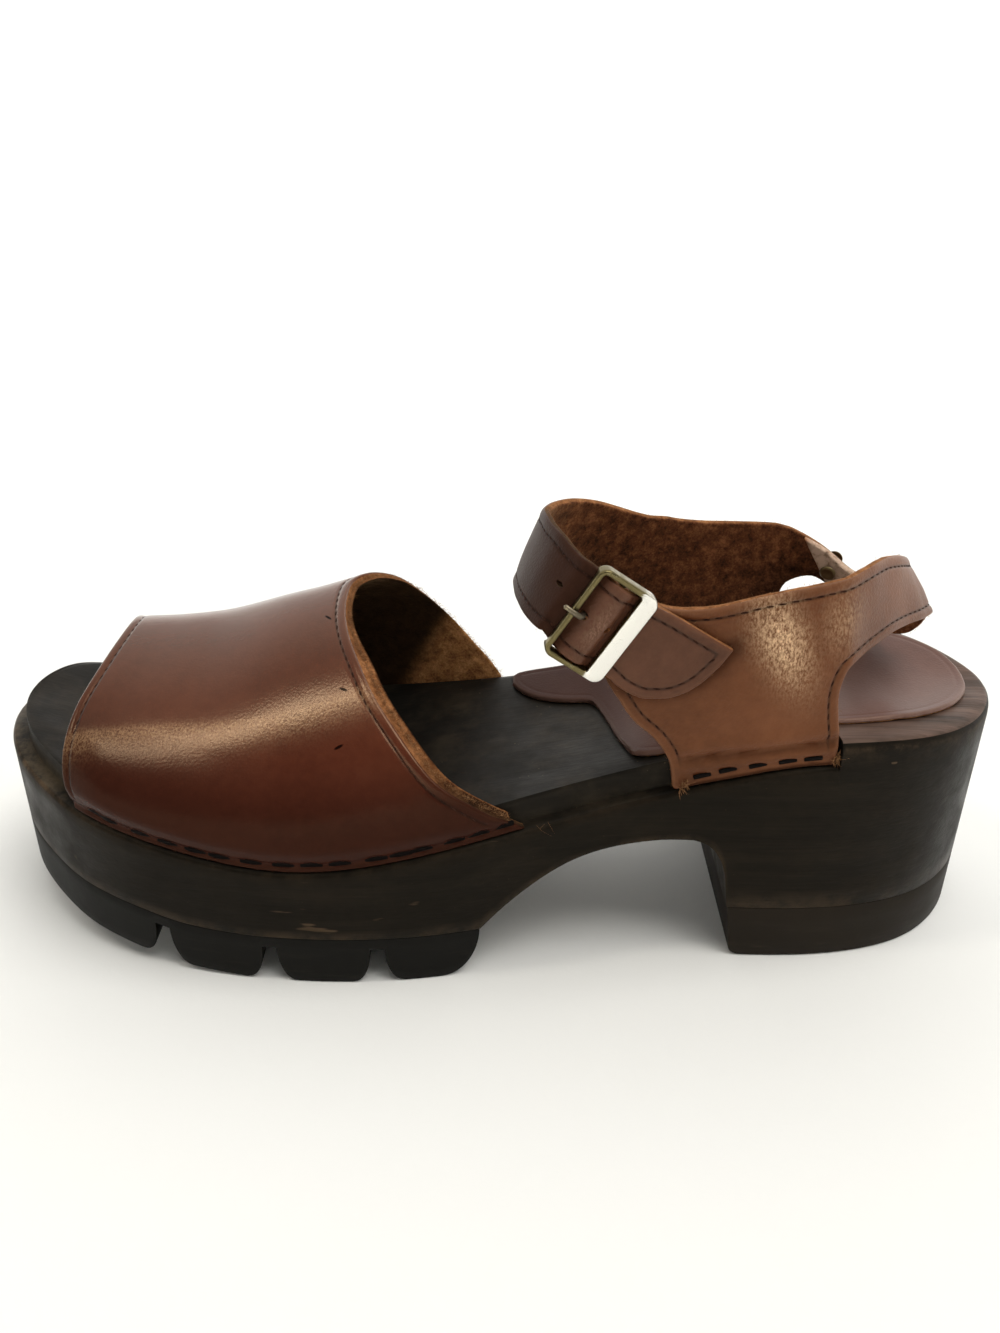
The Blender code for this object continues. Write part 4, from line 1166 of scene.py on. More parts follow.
@dataclass
class Sole:
    """Wooden block, lugged forefoot tread and heel lift."""

    form: SoleForm
    finishes: Finishes
    stations: int = 190
    breast_stations: Tuple[float, float, int] = (56.0, 61.2, 32)
    groove_centres: Tuple[float, ...] = (-84.5, -56.5, -29.0)
    groove_depth: float = 10.6
    groove_half: float = 1.9
    lug_run: float = 5.0
    lug_power: float = 2.2
    rear_end: float = -3.2
    rear_run: float = 9.5
    tread_lip: Lip = Lip(0.5, 6, 1.4, 0.3)
    lift_lip: Lip = Lip(0.7, 4, 1.25, 0.2)
    lift_corner: Tuple[float, float] = (3.2, 2.2)
    foot_ease: float = 0.24
    rebate: Tuple[Tuple[float, Level, float], ...] = (
        (0.25, Level.LEDGE, -0.5), (0.9, Level.LEDGE, -0.05), (2.5, Level.LEDGE, 0.0),
        (4.3, Level.LEDGE, 0.0),
        (4.5, Level.LEDGE, 0.3), (4.5, Level.RIM, -2.2), (4.62, Level.RIM, -1.0), (5.2, Level.BED, 0.0),
    )
    eased: Tuple[Tuple[float, Level, float], ...] = (
        (0.0, Level.RIM, -3.4), (0.1, Level.RIM, -2.0), (0.35, Level.RIM, -1.1), (0.8, Level.RIM, -0.45),
        (1.35, Level.RIM, -0.12), (2.0, Level.RIM, 0.0), (3.4, Level.BED, 0.0), (5.2, Level.BED, 0.0),
    )

    def spread(self, low: float, high: float) -> Array:
        """Stations that crowd towards the toe and heel tips, as a cosine does.

        Args:
            low: lower limit.
            high: upper limit.
        Returns:
            The stations between the limits.
        """
        x = -0.5 * self.form.length * np.cos(np.linspace(0.0, np.pi, self.stations))
        return x[(x > low) & (x < high)]

    def build_block(self) -> None:
        """Wood: wall, worn ledge edge, rebate and footbed; the rim is eased behind the rebate."""
        form, end, tip = self.form, self.form.rebate_end, 0.5 * self.form.length
        x = np.sort(np.concatenate([
            [-tip], self.spread(-tip + 0.1, end - 0.2), np.linspace(*self.breast_stations),
            [form.arch[0][0], end, end],
            self.spread(end + 0.2, tip - 0.1), [tip],
        ]))
        heel = np.zeros(len(x), dtype=bool)
        heel[np.flatnonzero(x == end)[1]:] = True
        low, ledge, edge = form.wood_under(x), form.ledge_height(x), form.edge_height(x)
        still, ease = np.zeros(len(x)), self.foot_ease
        insets = [still + ease, still + 0.07] + [still] * 8
        heights = [low, low + 0.07]
        heights += [low + ease + (ledge - 1.1 - low - ease) * share for share in np.linspace(0.0, 1.0, 8)]
        side, normal = form.side(x, Side.OUTER)
        for front, back in zip(self.rebate, self.eased):
            inset = np.where(heel, back[0], front[0])
            spot = side - inset[:, None] * normal
            levels = (ledge, edge, form.bed_height(form.within(spot[:, 0]), spot[:, 1]))
            insets.append(inset)
            heights.append(np.where(heel, levels[back[1].value] + back[2], levels[front[1].value] + front[2]))
        plain = [0] * (len(insets) - 9)
        front_slots = plain + [0, 0, 2, 2, 2, 2, 2, 2]
        heel_slots = plain + [0, 0, 0, 0, 1, 1, 1, 1]
        surface = SoleSlab(form, x, insets, heights, front_slots, 56, 2, True, heel, heel_slots).surface()
        surface.values["wear"] = self.wear(surface.points)
        materials = self.finishes.pick("wood", "rim", "footbed")
        write_piece("sole_wood", surface, materials, ["sole_block"])

    def wear(self, at: Array) -> Array:
        """How worn the wood is: along the ledge, most at the toe, round the heel's rim and at the foot.

        Args:
            at: points of the block.
        Returns:
            Values from 0 to 1.
        """
        form, x, z = self.form, self.form.within(at[:, 0]), at[:, 2]
        toe = 0.12 + 0.75 * (1.0 - smooth_step(-122.0, -92.0, at[:, 0]))
        ledge = smooth_step(1.8, 0.2, np.abs(z - form.ledge_height(x))) * toe
        rim = 0.5 * bell(np.abs(z - form.edge_height(x)), 2.4, 0.9)
        foot = 0.35 * smooth_step(0.7, 0.1, np.abs(z - form.wood_under(x)))
        return np.maximum(np.where(at[:, 0] > form.rebate_end, rim, ledge), foot)

    def rubber(self, x: Array, low: Array, top: Array, lip: Lip) -> Surface:
        """Rubber body between two heights, its wall eased at the foot and drawn in at the top.

        Args:
            x: stations.
            low: height of its underside.
            top: height of its joint with the wood.
            lip: how the wall is eased.
        Returns:
            The closed surface.
        """
        room = np.maximum(top - low, 0.0)
        ease = np.minimum(lip.size, 0.3 * room)
        insets = [ease, 0.3 * ease] + [0.0 * ease] * lip.rows + [lip.draw * ease]
        wall = [low + ease + (room - lip.crown * ease) * share for share in np.linspace(0.0, 1.0, lip.rows)]
        heights = [low, low + 0.3 * ease] + wall + [top]
        return SoleSlab(self.form, x, insets, heights, [0] * (len(insets) - 1)).surface()

    def build_tread(self) -> None:
        """Forefoot rubber: rounded lugs, each groove a power curve between two flats."""
        form, power = self.form, self.lug_power
        depth = np.concatenate([np.linspace(0.0, 0.8, 9), np.linspace(0.85, 1.0, 8)])
        runs = self.groove_half + self.lug_run * (1.0 - (1.0 - depth ** power) ** (1.0 / power))
        tip = 0.5 * form.length
        plain = np.concatenate([self.spread(-tip + 0.1, self.rear_end + 0.1 - self.rear_run), [-tip]])
        reach = np.min(np.abs(plain[:, None] - np.array(self.groove_centres)[None, :]), axis=1)
        plain = plain[reach >= self.groove_half + self.lug_run + 0.05]
        rear = np.linspace(0.0, 0.5 * np.pi, 24)
        x = [plain, self.rear_end - self.rear_run * (1.0 - np.cos(rear))]
        z = [form.tread_under(plain), (form.tread_thickness - form.joint_gap) * (1.0 - np.sin(rear))]
        for centre in self.groove_centres:
            for sign in (-1.0, 1.0):
                x.append(centre + sign * runs)
                z.append(form.tread_under(x[-1]) + self.groove_depth * (1.0 - depth))
        station, low = np.concatenate(x), np.concatenate(z)
        order = np.argsort(station, kind="stable")
        station, low = station[order], low[order]
        top = form.tread_under(station) + form.tread_thickness - form.joint_gap
        surface = self.rubber(station, low, top, self.tread_lip)
        materials = self.finishes.pick("tread")
        write_piece("forefoot_rubber", surface, materials, ["forefoot_outsole"], 40.0)

    def build_lift(self) -> None:
        """Heel lift: a flat slab with a sloped front face that meets the floor in a quarter ellipse."""
        form, foot, tip = self.form, self.form.breast_foot, 0.5 * self.form.length
        front = form.arch[-1][0] + 0.2
        corner = np.linspace(0.0, 0.5 * np.pi, 9)
        long, tall = self.lift_corner
        bend_x = foot + long * (1.0 - np.cos(corner))
        bend_z = tall * (1.0 - np.sin(corner))
        x = np.concatenate([
            [front], np.linspace(front + 0.1, foot, 8)[:-1], bend_x,
            self.spread(foot + long + 0.3, tip - 0.1), [tip],
        ])
        top = np.full(len(x), form.lift_height - form.joint_gap)
        low = np.interp(x, np.concatenate([[front], bend_x]), np.concatenate([top[:1], bend_z]))
        surface = self.rubber(x, low, top, self.lift_lip)
        materials = self.finishes.pick("lift")
        write_piece("heel_lift_rubber", surface, materials, ["heel_toplift"], 40.0)

    def build(self) -> None:
        """Build the three bodies."""
        self.build_block()
        self.build_tread()
        self.build_lift()


@dataclass
class Sheet:
    """A cut piece of leather: a grid of points on its outer face, row cross column outwards.

    The face is the grid moved along its normals by a relief, rounded off at its cut edges;
    the back is the same grid moved in by the thickness; a raw rim joins them.
    """

    grid: Array
    thickness: float
    relief: Array
    edge: Array
    sewn: Array
    round_edge: float = 0.5
    rim_bulge: Optional[Array] = None
    flare: Optional[Array] = None
    keep: Optional[Array] = None
    # shares of painted highlight, painted shade, and painted shade on the flesh side, at each point
    painted_highlight_share: Optional[Array] = None
    shade: Optional[Array] = None
    flesh_shade: Optional[Array] = None

    def normals(self) -> Array:
        """Outward unit normals of the grid, averaged with their neighbours.

        Returns:
            Normals by row and column.
        """
        cross = np.cross(np.gradient(self.grid, axis=0), np.gradient(self.grid, axis=1))
        for _ in range(2):
            wide = np.pad(cross, ((1, 1), (1, 1), (0, 0)), mode="edge")
            beside = wide[:-2, 1:-1] + wide[2:, 1:-1] + wide[1:-1, :-2] + wide[1:-1, 2:]
            cross = 0.5 * cross + 0.125 * beside
        return unit(cross)

    def drop(self) -> Array:
        """How far the face sinks at a cut edge: a quarter circle."""
        reach = np.clip(self.round_edge - self.edge, 0.0, self.round_edge)
        return self.round_edge - np.sqrt(self.round_edge ** 2 - reach ** 2)

    def face(self) -> Array:
        """Points of the finished outer face."""
        return self.grid + self.normals() * (self.relief - self.drop())[:, :, None]

    def back(self) -> Array:
        """Points of the flesh side, with a little uneven nap.

        Returns:
            Points by row and column.
        """
        nap = 0.08 * waves(self.grid, 5.0, 11)
        inner = self.thickness - 0.7 * self.drop() + nap
        back = self.grid + self.normals() * (0.35 * np.minimum(self.relief, 0.6) - inner)[:, :, None]
        if self.flare is not None:
            back += unit(np.gradient(self.grid, axis=1)) * self.flare[:, :, None]
        return back

    def cut_line(self, cut: Cut) -> Lines:
        """Middle of the raw rim along one long edge, and the direction away from the leather.

        Args:
            cut: which edge.
        Returns:
            Points and unit directions.
        """
        column, beside = (0, 3) if cut is Cut.FIRST else (-1, -4)
        face, back = self.face(), self.back()
        return 0.5 * (face[:, column] + back[:, column]), unit(face[:, column] - face[:, beside])

    def inset_line(self, distance: Array, rows: Array, inset: float, cut: Cut) -> Lines:
        """Line on the face at a distance from one long edge.

        Args:
            distance: distance of each point from that edge.
            rows: numbers of the rows to follow.
            inset: the distance to find.
            cut: which edge.
        Returns:
            Points and outward normals.
        """
        face, normal, reach = self.face()[rows], self.normals()[rows], distance[rows]
        if cut is Cut.LAST:
            face, normal, reach = face[:, ::-1], normal[:, ::-1], reach[:, ::-1]
        far = np.argmax(reach > inset, axis=1)
        near = np.maximum(far - 1, 0)
        row = np.arange(len(reach))
        gap = np.maximum(reach[row, far] - reach[row, near], 1e-6)
        share = ((inset - reach[row, near]) / gap)[:, None]
        line = face[row, near] * (1.0 - share) + face[row, far] * share
        return line[far > 0], normal[row, near][far > 0]

    @staticmethod
    def open_sides(quads: Array, total: int) -> Array:
        """Sides of quads that no other quad shares.

        Args:
            quads: corners of each quad.
            total: number of points.
        Returns:
            First and second corner of each open side.
        """
        sides = np.concatenate([quads[:, (k, (k + 1) % 4)] for k in range(4)])
        key = sides.min(axis=1) * total + sides.max(axis=1)
        _, inverse, counts = np.unique(key, return_inverse=True, return_counts=True)
        return sides[counts[inverse.ravel()] == 1]

    def surface(self) -> Surface:
        """Join face, rim and back into one closed surface with its stored values.

        The rim is four rows between face and back, pushed out by a half sine and roughened.

        Returns:
            The surface: finish 0 on the face, 1 on the rim, 2 on the back.
        """
        face, back = self.face().reshape(-1, 3), self.back().reshape(-1, 3)
        total = len(face)
        quads = corner_stack(np.arange(total).reshape(self.grid.shape[:2]))
        quads = quads.reshape(-1, 4) if self.keep is None else quads[self.keep]
        rim = self.open_sides(quads, total)
        corner = np.unique(rim)
        centre, touch = np.zeros((total, 3)), np.zeros(total)
        middle = face[quads].mean(axis=1)
        for k in range(4):
            np.add.at(centre, quads[:, k], middle)
            np.add.at(touch, quads[:, k], 1.0)
        out = face[corner] - centre[corner] / touch[corner, None]
        through = unit(back[corner] - face[corner])
        out = unit(out - (out * through).sum(axis=1, keepdims=True) * through)
        levels, points, source = [corner], [face, back], [np.arange(total), np.arange(total)]
        bulge = np.full(len(corner), 0.12) if self.rim_bulge is None else self.rim_bulge.ravel()[corner]
        for number, share in enumerate((0.16, 0.38, 0.62, 0.84)):
            spot = face[corner] * (1.0 - share) + back[corner] * share
            rough = bulge * math.sin(math.pi * share) + (0.05 + 0.2 * bulge) * waves(spot, 1.7, 21 + number)
            points.append(spot + out * rough[:, None])
            levels.append(2 * total + number * len(corner) + np.arange(len(corner)))
            source.append(corner)
        levels.append(corner + total)
        start, end = np.searchsorted(corner, rim).T
        rims = [
            np.stack([above[end], above[start], below[start], below[end]], axis=1)
            for above, below in zip(levels, levels[1:])
        ]
        faces = [quads, quads[:, ::-1] + total] + rims
        slots = [np.zeros(len(quads)), np.full(len(quads), 2)] + [np.ones(len(rim))] * len(rims)
        stored = {"edge": self.edge, "sewn": self.sewn, "painted_highlight_share": self.painted_highlight_share, "shade": self.shade}
        source = np.concatenate(source)
        values = {key: value.ravel()[source] for key, value in stored.items() if value is not None}
        if self.flesh_shade is not None:
            values["shade"][total: 2 * total] = self.flesh_shade.ravel()
        return Surface(np.concatenate(points), faces, slots, values)


@dataclass
class Seam:
    """A row of thread stitches: each a small capsule whose ends dip into the leather."""

    pitch: float = 2.9
    length: float = 2.0
    radius: float = 0.27
    sink: float = 0.06
    tilt: float = 0.14
    sides: int = 6

    def surface(self, line: Array, normal: Array) -> Surface:
        """Capsules along a line: a ring of points carried along seven places of each stitch.

        Args:
            line: points of the seam.
            normal: outward normal at each point.
        Returns:
            All stitches as one surface.
        """
        at = np.arange(0.5 * self.pitch, line_runs(line)[-1] - 0.3 * self.pitch, self.pitch)
        spot, up, ahead = along_line(line, normal, at)
        ahead = unit(ahead + self.tilt * unit(np.cross(ahead, up)))
        side = unit(np.cross(ahead, up))
        t = np.array([-1.0, -0.86, -0.45, 0.0, 0.45, 0.86, 1.0])
        girth = np.array([0.02, 0.7, 0.95, 1.0, 0.95, 0.7, 0.02]) * self.radius
        lift = -self.sink - 0.4 * t ** 2 * self.radius
        turn = circle(self.sides)[:, None]
        ring = np.cos(turn) * side[:, None, None, :] + np.sin(turn) * up[:, None, None, :]
        core = spot[:, None, :] + 0.5 * self.length * t[None, :, None] * ahead[:, None, :]
        return Surface.of_rings(core + lift[None, :, None] * up[:, None, :], ring, girth)


@dataclass
class Fuzz:
    """Loose fibres on a raw edge: bent three-sided needles."""

    count: int
    length: float
    radius: float
    seed: int

    def surface(self, line: Array, out: Array) -> Surface:
        """Needles scattered along a line.

        Args:
            line: points along the edge.
            out: direction away from the leather at each point.
        Returns:
            All needles as one surface.
        """
        rng = np.random.default_rng(self.seed)
        at = np.sort(rng.uniform(0.0, line_runs(line)[-1], self.count))
        root, lean, ahead = along_line(line, out, at)
        lean = unit(lean + 0.7 * rng.normal(size=lean.shape))
        bend = unit(ahead * rng.normal(size=(self.count, 1)) + 0.8 * rng.normal(size=lean.shape))
        reach = self.length * rng.uniform(0.35, 1.3, (self.count, 1))
        root = root + 0.35 * rng.normal(size=root.shape)
        t = np.array([-0.3, 0.35, 0.75, 1.0])[None, :, None]
        curl = t * lean[:, None, :] + 0.45 * t ** 2 * bend[:, None, :]
        core = root[:, None, :] + reach[:, None, :] * curl
        side = unit(np.cross(lean, bend))
        up = unit(np.cross(side, lean))
        turn = circle(3)[:, None]
        ring = np.cos(turn) * side[:, None, None, :] + np.sin(turn) * up[:, None, None, :]
        return Surface.of_rings(core, ring, self.radius * np.array([1.0, 0.9, 0.6, 0.12]))


@dataclass
class StapleRow:
    """Wire staples pressed into the leather's lower margin."""

    wide: float = 5.6
    tall: float = 1.6
    deep: float = 0.5
    dent: float = 0.7
    dent_shape: Point = (0.42, 1.0, 1.0)

    def press(self, grid: Array, spots: Array) -> Array:
        """Depth pressed into the leather: a bell round each staple, longer along the row.

        Args:
            grid: points of the leather.
            spots: staple centres.
        Returns:
            Depth at each point.
        """
        depth = np.zeros(grid.shape[:2])
        for spot in spots:
            reach = np.linalg.norm((grid - spot) * np.array(self.dent_shape), axis=2)
            depth += self.dent * bell(reach, 0.0, 1.0)
        return depth

    def surface(self, spot: Array, up: Array, ahead: Array) -> Surface:
        """Flat bars with rounded tops: a squarish ring carried along each staple.

        Args:
            spot: staple centres.
            up: outward normals.
            ahead: directions along the row.
        Returns:
            All staples as one surface.
        """
        side = unit(np.cross(ahead, up))
        t = np.array([-1.0, -0.98, -0.9, 0.0, 0.9, 0.98, 1.0]) * 0.5 * self.wide
        girth = np.array([0.4, 0.8, 1.0, 1.0, 1.0, 0.8, 0.4])
        turn = circle(8)[:, None]
        flat = 0.5 * self.tall * np.sign(np.cos(turn)) * np.abs(np.cos(turn)) ** 0.6
        rise = 0.5 * self.deep * np.sign(np.sin(turn)) * np.abs(np.sin(turn)) ** 0.6
        ring = flat * side[:, None, None, :] + rise * up[:, None, None, :]
        made = Surface.of_rings(spot[:, None, :] + t[None, :, None] * ahead[:, None, :], ring, girth)
        made.values["shine"] = np.zeros(len(made.points))
        return made


def write_trim(name: str, finishes: Finishes, threads: Surface, steel: Surface, fibres: Surface) -> None:
    """Write the seam threads, staples and loose fibres of a leather piece.

    Args:
        name: start of the three names.
        finishes: the shoe's finishes.
        threads: seam threads.
        steel: staples.
        fibres: loose fibres.
    """
    for part, surface, finish, sharp in (
        ("seams", threads, "thread", 80.0), ("staples", steel, "staple", 60.0),
        ("fibres", fibres, "fibre", 80.0),
    ):
        write_piece(f"{name}_{part}", surface, finishes.pick(finish), (), sharp)


@dataclass
class HeelPad:
    """Thin leather pad on the footbed's heel."""

    form: SoleForm
    finishes: Finishes
    thickness: float = 1.5
    lift: float = 0.1
    rows: int = 190
    round_edge: float = 0.7
    table: Table = (
        (5.4, 20.5, 24.6), (7.6, 16.6, 26.2), (12.0, 12.0, 26.6), (20.0, 8.0, 26.4), (27.0, 5.5, 26.2),
        (30.0, -4.0, 26.1), (32.5, -17.0, 26.0), (35.5, -26.0, 26.0), (42.0, -28.0, 26.0),
        (60.0, -28.4, 26.2),
        (86.0, -27.5, 26.4), (102.0, -24.0, 25.6), (115.5, -17.0, 21.5), (122.5, -9.0, 16.0),
        (125.5, -2.5, 10.0), (126.3, 2.0, 6.0),
    )

    def build(self) -> None:
        """Lay a grid between the pad's two edges on the footbed; rows crowd at both ends."""
        station, outer, inner = columns(self.table)
        share = np.linspace(0.0, 1.0, self.rows)
        x = station[0] + (station[-1] - station[0]) * 0.5 * (1.0 - np.cos(np.pi * share))
        low, high = steady(station, outer, x), steady(station, inner, x)
        y = low[:, None] + (high - low)[:, None] * edge_shares(high - low, 44)
        along = np.repeat(x[:, None], y.shape[1], axis=1)
        z = self.form.bed_height(along, y) + self.lift + self.thickness
        grid = np.stack([along, y, z], axis=2)
        ring = np.concatenate([grid[:, 0], grid[-1], grid[::-1, -1], grid[0, ::-1]])[::3]
        edge = distance_to(grid, np.concatenate([ring, ring[:1]]))
        relief = 0.12 * waves(grid, 26.0, 3) - 0.06 * bell(edge, 2.2, 0.5)
        # painted shade: the pad darkens towards its front, in the straps' shadow
        shade = 0.85 * (1.0 - smooth_step(28.0, 50.0, along))
        sheet = Sheet(grid, self.thickness, relief, edge, np.zeros(edge.shape), self.round_edge, shade=shade)
        materials = self.finishes.pick("pad", "pad", "suede")
        write_piece("heel_pad_leather", sheet.surface(), materials, ["heel_pad"])


@dataclass
class Vamp:
    """Open-toe band over the forefoot, stapled into the rebate on both sides."""

    form: SoleForm
    finishes: Finishes
    thickness: float = 2.5
    inset: float = 1.0
    wall: float = 5.0
    wall_heights: Tuple[float, ...] = (
        0.0, 0.1, 0.25, 0.45, 0.7, 1.0, 1.4, 1.8, 2.2, 2.6, 3.0, 3.4, 3.8, 4.2, 4.6,
    )
    crest_y: float = 15.2
    powers: Tuple[float, float] = (1.69, 2.2)
    front_turn: float = 2.0
    corners: Tuple[float, float] = (6.2, 4.5)
    throat_inset: float = 2.6
    front_inset: float = 2.25
    foot_rows: int = 14
    staple_sink: float = 0.62
    crest: Table = (
        (-112.0, 70.8), (-104.0, 71.0), (-78.0, 73.1), (-54.0, 79.7), (-36.0, 85.3), (-10.0, 94.4),
        (12.0, 101.0),
    )
    cuts: Table = (
        (0.0, -107.0, 1.8), (9.0, -107.5, -5.0), (17.0, -107.9, -12.0), (26.0, -108.0, -18.0),
        (38.0, -107.4, -25.0), (45.0, -106.7, -29.0), (54.0, -105.3, -33.0), (64.0, -103.7, -36.8),
        (73.0, -102.5, -38.8), (82.0, -101.6, -39.2), (92.0, -101.1, -38.2), (103.0, -101.1, -35.0),
        (113.0, -101.5, -31.8), (122.0, -102.2, -28.2), (131.0, -103.3, -24.6), (142.0, -104.5, -19.8),
        (155.0, -105.7, -13.2), (166.0, -106.6, -7.2), (174.0, -107.1, -2.2), (180.0, -107.5, 1.5),
    )
    # centre line of the painted highlight band on the outer side: y by station
    wear_and_highlight: Table = (
        (-104.0, -23.7), (-98.0, -24.1), (-85.0, -24.2), (-72.0, -25.1), (-60.0, -25.9), (-47.0, -25.7),
        (-31.0, -23.8),
    )
    staples: Table = (
        (-99.0, 2.3), (-95.0, 1.8), (-87.0, 1.8), (-80.0, 1.7), (-73.0, 1.7), (-67.0, 1.7), (-59.0, 1.9),
        (-51.0, 2.1), (-44.0, 2.2), (-37.0, 2.1), (-28.0, 2.0), (-22.0, 1.9), (-17.0, 2.1), (-9.0, 2.2),
        (-3.0, 2.3), (3.0, 2.4),
    )
    strand: Table = ((9.0, -41.2, 43.6), (14.0, -40.4, 45.0))
    strand_lean: Point = (0.6, -0.7, -0.3)

    def wall_rows(self, share: Array, side: Side) -> Array:
        """Upright part on the ledge, whose front and rear cuts spread towards the ledge.

        Args:
            share: places along, as shares of the length.
            side: which side.
        Returns:
            Rows of points from the ledge up to the band's spring line.
        """
        heights = np.array(self.wall_heights)
        knots, front, rear = columns(self.cuts)
        angle = np.array([180.0 * side.value])
        level = 1.0 - heights / self.wall
        first = spline(knots, front, angle)[0] + self.front_turn * level
        last = spline(knots, rear, angle)[0] + self.corners[side.value] * level
        x = first[:, None] * (1.0 - share) + last[:, None] * share
        y = self.form.edges(x)[side.value] - side.out() * self.inset
        z = self.form.ledge_height(x) + self.form.fit_gap + heights[:, None]
        return np.stack([x, y, z], axis=2)

    def arch(self, x: Array, angle: Array) -> Array:
        """Band's face: a power curve from each wall top to the crest.

        At an angle, reach is |cos| and rise is |sin|, both to the power two over the
        side's own power.

        Args:
            x: stations.
            angle: angle of each point, 0 at the outer wall and pi at the inner one.
        Returns:
            Points.
        """
        outer, inner = self.form.edges(x)
        base = self.form.ledge_height(x) + self.form.fit_gap + self.wall
        crest = steady(*columns(self.crest), x)
        near = np.cos(angle) > 0.0
        power = np.where(near, *self.powers)
        wall = np.where(near, outer + self.inset, inner - self.inset)
        reach = np.abs(np.cos(angle)) ** (2.0 / power)
        rise = np.abs(np.sin(angle)) ** (2.0 / power)
        y = self.crest_y + (wall - self.crest_y) * reach
        return np.stack([x, y, base + (crest - base) * rise], axis=2)

    def grid(self) -> Array:
        """Rows from the inner ledge over the crest to the outer ledge, columns toe to throat.

        Returns:
            Points, with the turns from wall to band smoothed over six passes.
        """
        degrees = np.linspace(0.0, 180.0, 222)
        knots, front, rear = columns(self.cuts)
        first, last = spline(knots, front, degrees), spline(knots, rear, degrees)
        share = edge_shares(last - first, 84)
        x = first[:, None] * (1.0 - share) + last[:, None] * share
        face = self.arch(x, np.repeat(np.radians(degrees)[:, None], x.shape[1], axis=1))
        outer, inner = self.wall_rows(share[:1], Side.OUTER), self.wall_rows(share[-1:], Side.INNER)
        grid = np.concatenate([outer, face, inner[::-1]])
        for _ in range(6):
            grid[20:-20] = 0.25 * grid[19:-21] + 0.5 * grid[20:-20] + 0.25 * grid[21:-19]
        return grid[::-1]

    def shine(self, grid: Array) -> Array:
        """Painted highlight band along the outer side: a bell that falls off fast above and slowly below."""
        above = grid[:, :, 1] - np.interp(grid[:, :, 0], *columns(self.wear_and_highlight))
        return 0.38 * bell(above, 0.0, np.where(above > 0.0, 1.5, 4.0))

    def staple_places(self) -> Tuple[Array, Array, Array]:
        """Staples on both walls.

        Returns:
            Their centres, outward normals and directions along the row.
        """
        x, height = columns(self.staples)
        z = self.form.ledge_height(x) + self.form.fit_gap + height
        rows = []
        for side in Side:
            edge, normal = self.form.side(x, side)
            slope = self.form.ledge_slope(x) * np.sign(-normal[:, 1])
            rows.append((
                np.column_stack([edge - normal * (self.inset + self.staple_sink), z]),
                np.column_stack([normal, np.zeros(len(x))]),
                unit(np.column_stack([-normal[:, 1], normal[:, 0], slope])),
            ))
        return tuple(np.concatenate(parts) for parts in zip(*rows))

    def build(self) -> None:
        """Build the band, its seams, staples and raw-edge fibres."""
        grid = self.grid()
        front, throat = distance_to(grid, grid[:, 0]), distance_to(grid, grid[:, -1])
        foot = np.minimum(distance_to(grid, grid[0]), distance_to(grid, grid[-1]))
        cut = np.minimum(front, throat)
        edge = np.minimum(cut, foot)
        sewn = smooth_step(3.0, 5.0, foot)
        relief = 0.28 * waves(grid * np.array([1.0, 0.7, 0.7]), 46.0, 8) * smooth_step(2.0, 14.0, edge)
        seam = np.minimum(front + self.throat_inset - self.front_inset, throat)
        relief += stitch_relief(seam, sewn, (0.20, self.throat_inset, 0.46), (0.12, 1.2, 0.9))
        relief += 0.8 * window(foot, (2.4, 7.0, 10.0, 26.0)) * smooth_step(0.0, 12.0, cut)
        places, steel = self.staple_places(), StapleRow()
        relief -= 0.35 * bell(foot, 1.9, 0.8) + steel.press(grid, places[0])
        sheet = Sheet(grid, self.thickness, relief, edge, sewn, 0.55, painted_highlight_share=self.shine(grid))
        sheet.rim_bulge = np.where((throat < 0.01) & (foot > 3.0), 0.5, 0.12)
        broad = 1.2 + 1.8 * smooth_step(4.0, -20.0, grid[:, :, 1])
        sheet.flare = broad * np.exp(-throat / 1.6) * smooth_step(2.0, 6.0, foot)
        # painted shade: darker low down on the band's sides and in the gap at the stapled foot
        low = 0.9 * (1.0 - smooth_step(10.0, 29.0, grid[:, :, 2] - self.form.ledge_height(grid[:, :, 0])))
        sheet.shade = np.maximum(low, 1.0 - smooth_step(0.9, 2.4, foot))
        # painted shade inside the band: dark towards the toe and the top
        sheet.flesh_shade = 1.0 - smooth_step(-20.0, -11.5, grid[:, :, 0] - 0.5 * (grid[:, :, 2] - 62.0))
        materials = self.finishes.pick("vamp", "raw_edge", "suede")
        write_piece("vamp_band", sheet.surface(), materials, ["vamp"])
        rows = np.arange(self.foot_rows, len(grid) - self.foot_rows)
        threads = Seam(radius=0.24).surface(*sheet.inset_line(throat, rows, self.throat_inset, Cut.LAST))
        front_line = sheet.inset_line(front, rows, self.front_inset, Cut.FIRST)
        threads.add(Seam(length=1.8, radius=0.2).surface(*front_line))
        fuzz = Fuzz(2600, 0.8, 0.035, 5).surface(*(line[12:-12] for line in sheet.cut_line(Cut.LAST)))
        fuzz.add(Fuzz(3, 4.0, 0.025, 33).surface(np.array(self.strand), np.array([self.strand_lean] * 2)))
        write_trim("vamp", self.finishes, threads, steel.surface(*places), fuzz)


